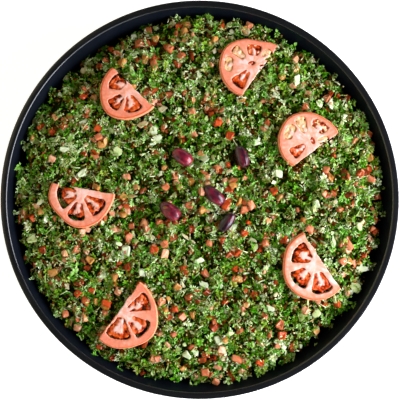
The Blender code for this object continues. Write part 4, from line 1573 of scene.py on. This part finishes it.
bump = add(tree, "ShaderNodeBump",
           inputs={"Strength": 0.35, "Distance": 0.25 * MM, "Height": cells.outputs[0]})
tree.links.new(bump.outputs[0], shader.inputs["Normal"])
print("finish:", flesh.name)

# %% Half slices
for number, (node, spec) in enumerate(zip(SLICE_NODES, HALF_SLICES), 1):
    mesh = slice_mesh(f"tomato_half_slice_{number}", spec, number)
    mesh.transform(slice_frame(node, spec))
    piece = new_object(mesh.name, mesh)
    smooth = piece.modifiers.new("Smooth", "SMOOTH")
    smooth.factor = 0.5
    smooth.iterations = 4
    bake_modifiers(piece)
    piece.data.shade_smooth()
    piece.data.materials.append(flesh)
    settle(piece, "tomato_flesh", node)

# %% [markdown]
# ## Olives
#
# A cured olive's skin runs from wine red to nearly black violet, and one of these has kept a green patch. Oil
# stands on it as a clear coat over the fine pits of the skin. Each olive's own ripeness is stored on its
# points together with painted light and shade, and noise does the rest.

# %% Olive skin
olive_skin, tree, shader = new_material(
    "cured_olive_skin", "#5A1024", 0.42, ior=1.5, Specular_IOR_Level=0.12, Coat_Weight=0.9,
    Coat_Roughness=0.19, Coat_IOR=1.46, Subsurface_Weight=0.08, Subsurface_Scale=1.0 * MM)
place = add(tree, "ShaderNodeTexCoord").outputs["Object"]
ripe = add(tree, "ShaderNodeAttribute", {"attribute_name": "tone"}).outputs["Fac"]
blotches = add(tree, "ShaderNodeTexNoise", inputs={"Vector": place, "Scale": 160, "Detail": 3}).outputs[0]
blotch_range = add(tree, "ShaderNodeMapRange", inputs={0: blotches, 1: 0.3, 2: 0.7, 3: -0.2, 4: 0.2})
tone = add(tree, "ShaderNodeMath", {"operation": "ADD", "use_clamp": True},
           {0: ripe, 1: blotch_range.outputs[0]})
colour = ramp(tree, tone.outputs[0], (
    (0, "#16060E"), (0.25, "#2A081A"), (0.45, "#4E0C1E"), (0.65, "#741228"), (0.8, "#9E2030"),
    (0.9, "#6A5A14"), (1, "#6E7A1C")))
tree.links.new(colour, shader.inputs["Base Color"])
pits = add(tree, "ShaderNodeTexNoise", inputs={"Vector": place, "Scale": 700, "Detail": 2}).outputs[0]
bump = add(tree, "ShaderNodeBump", inputs={"Strength": 0.5, "Distance": 0.3 * MM, "Height": pits})
tree.links.new(bump.outputs[0], shader.inputs["Normal"])
print("finish:", olive_skin.name)

# %% [markdown]
# Cured olives shrink a little, so they are wrinkled along their length, and the scar of the stalk sits in a
# small hollow at one end. The CAD olives are smooth, so their meshes are copied, made finer and pushed in and
# out by noise that is long the way the olive is.

# %% Wrinkles
RIPENESS = (0.62, 0.37, 0.43, 0.58, 0.22)  # from black violet at 0 to wine red at 0.8
RIPEST = 0.62  # as red as the skin gets, apart from the green patch
WRINKLE = 0.45 * MM
PIT = 0.09 * MM
PIT_WIDTH = 1.3 * MM
FOLD_LENGTH = 9 * MM
END_WIDTH = 3 * MM  # nearer to its long axis than this, an olive wrinkles less
SCAR_WIDTH = 2.4 * MM
SCAR_DEPTH = 1.7 * MM


def wrinkle(mesh, number):
    """Wrinkles an olive's mesh lengthwise, sinks the stalk's scar, and returns ripeness and painted light per
    point.
    """
    points = np.array([v.co for v in mesh.vertices])
    middle = points.mean(axis=0)
    away = points - middle
    length_way = np.linalg.svd(away, full_matrices=False)[2][0]
    length_way *= np.sign(length_way[0]) or 1
    along = away @ length_way
    out = away - along[:, None] * length_way
    half = np.abs(along).max()
    ripeness_and_painted_light = []
    for k, vertex in enumerate(mesh.vertices):
        flat = Vector(out[k])
        around = flat.normalized() if flat.length > JOIN_WITHIN else Vector((0, 0, 1))
        here = around * 2.2 + Vector(length_way) * along[k] / FOLD_LENGTH + Vector((0, 0, 5.0 * number))
        fold = noise.noise(here) + 0.5 * noise.noise(here * 2.1)
        pit = noise.noise(Vector(away[k]) / PIT_WIDTH)
        thick = min(1, flat.length / END_WIDTH)
        scar = math.exp(-((flat.length / SCAR_WIDTH) ** 2)) * (along[k] > 0)
        vertex.co += around * (WRINKLE * fold + PIT * pit) * thick - Vector(length_way) * SCAR_DEPTH * scar
        # tone is the olive's ripeness with painted light and shade: lighter on the wrinkles' ridges and
        # towards the end that faces the window, darker in their creases; the scar's hollow is darker too
        tone = RIPENESS[number] + 0.2 * fold + 0.12 * along[k] / half - 0.3 * scar
        ripeness_and_painted_light.append(min(max(tone, 0), RIPEST))
    return ripeness_and_painted_light, Vector(middle)


# %% Olives
OLIVE_NODES = sorted(name for name in frame["nodes"] if name.startswith("olive"))
GREEN_OLIVE = "olive_4"
GREEN_AT = Vector((-5.0, 3.5, 0)) * MM
GREEN_LENGTH = 3.4 * MM
GREEN_WIDTH = 1.8 * MM

for number, node in enumerate(OLIVE_NODES):
    piece = new_object(f"dark_{node}", merged_copy(node))
    subdivide = piece.modifiers.new("Subdivide", "SUBSURF")
    subdivide.levels = subdivide.render_levels = 2
    bake_modifiers(piece)
    ripeness_and_painted_light, middle = wrinkle(piece.data, number)
    if node == GREEN_OLIVE:
        for k, vertex in enumerate(piece.data.vertices):
            off = vertex.co - middle - GREEN_AT
            if off.z > 0:
                patch = math.exp(-((off.x / GREEN_LENGTH) ** 2) - (off.y / GREEN_WIDTH) ** 2)
                ripeness_and_painted_light[k] += (1 - ripeness_and_painted_light[k]) * rising(patch, 0.35, 0.7)
    piece.data.attributes.new("tone", "FLOAT", "POINT").data.foreach_set("value", ripeness_and_painted_light)
    piece.data.shade_smooth()
    piece.data.materials.append(olive_skin)
    settle(piece, "olive_skin", node)
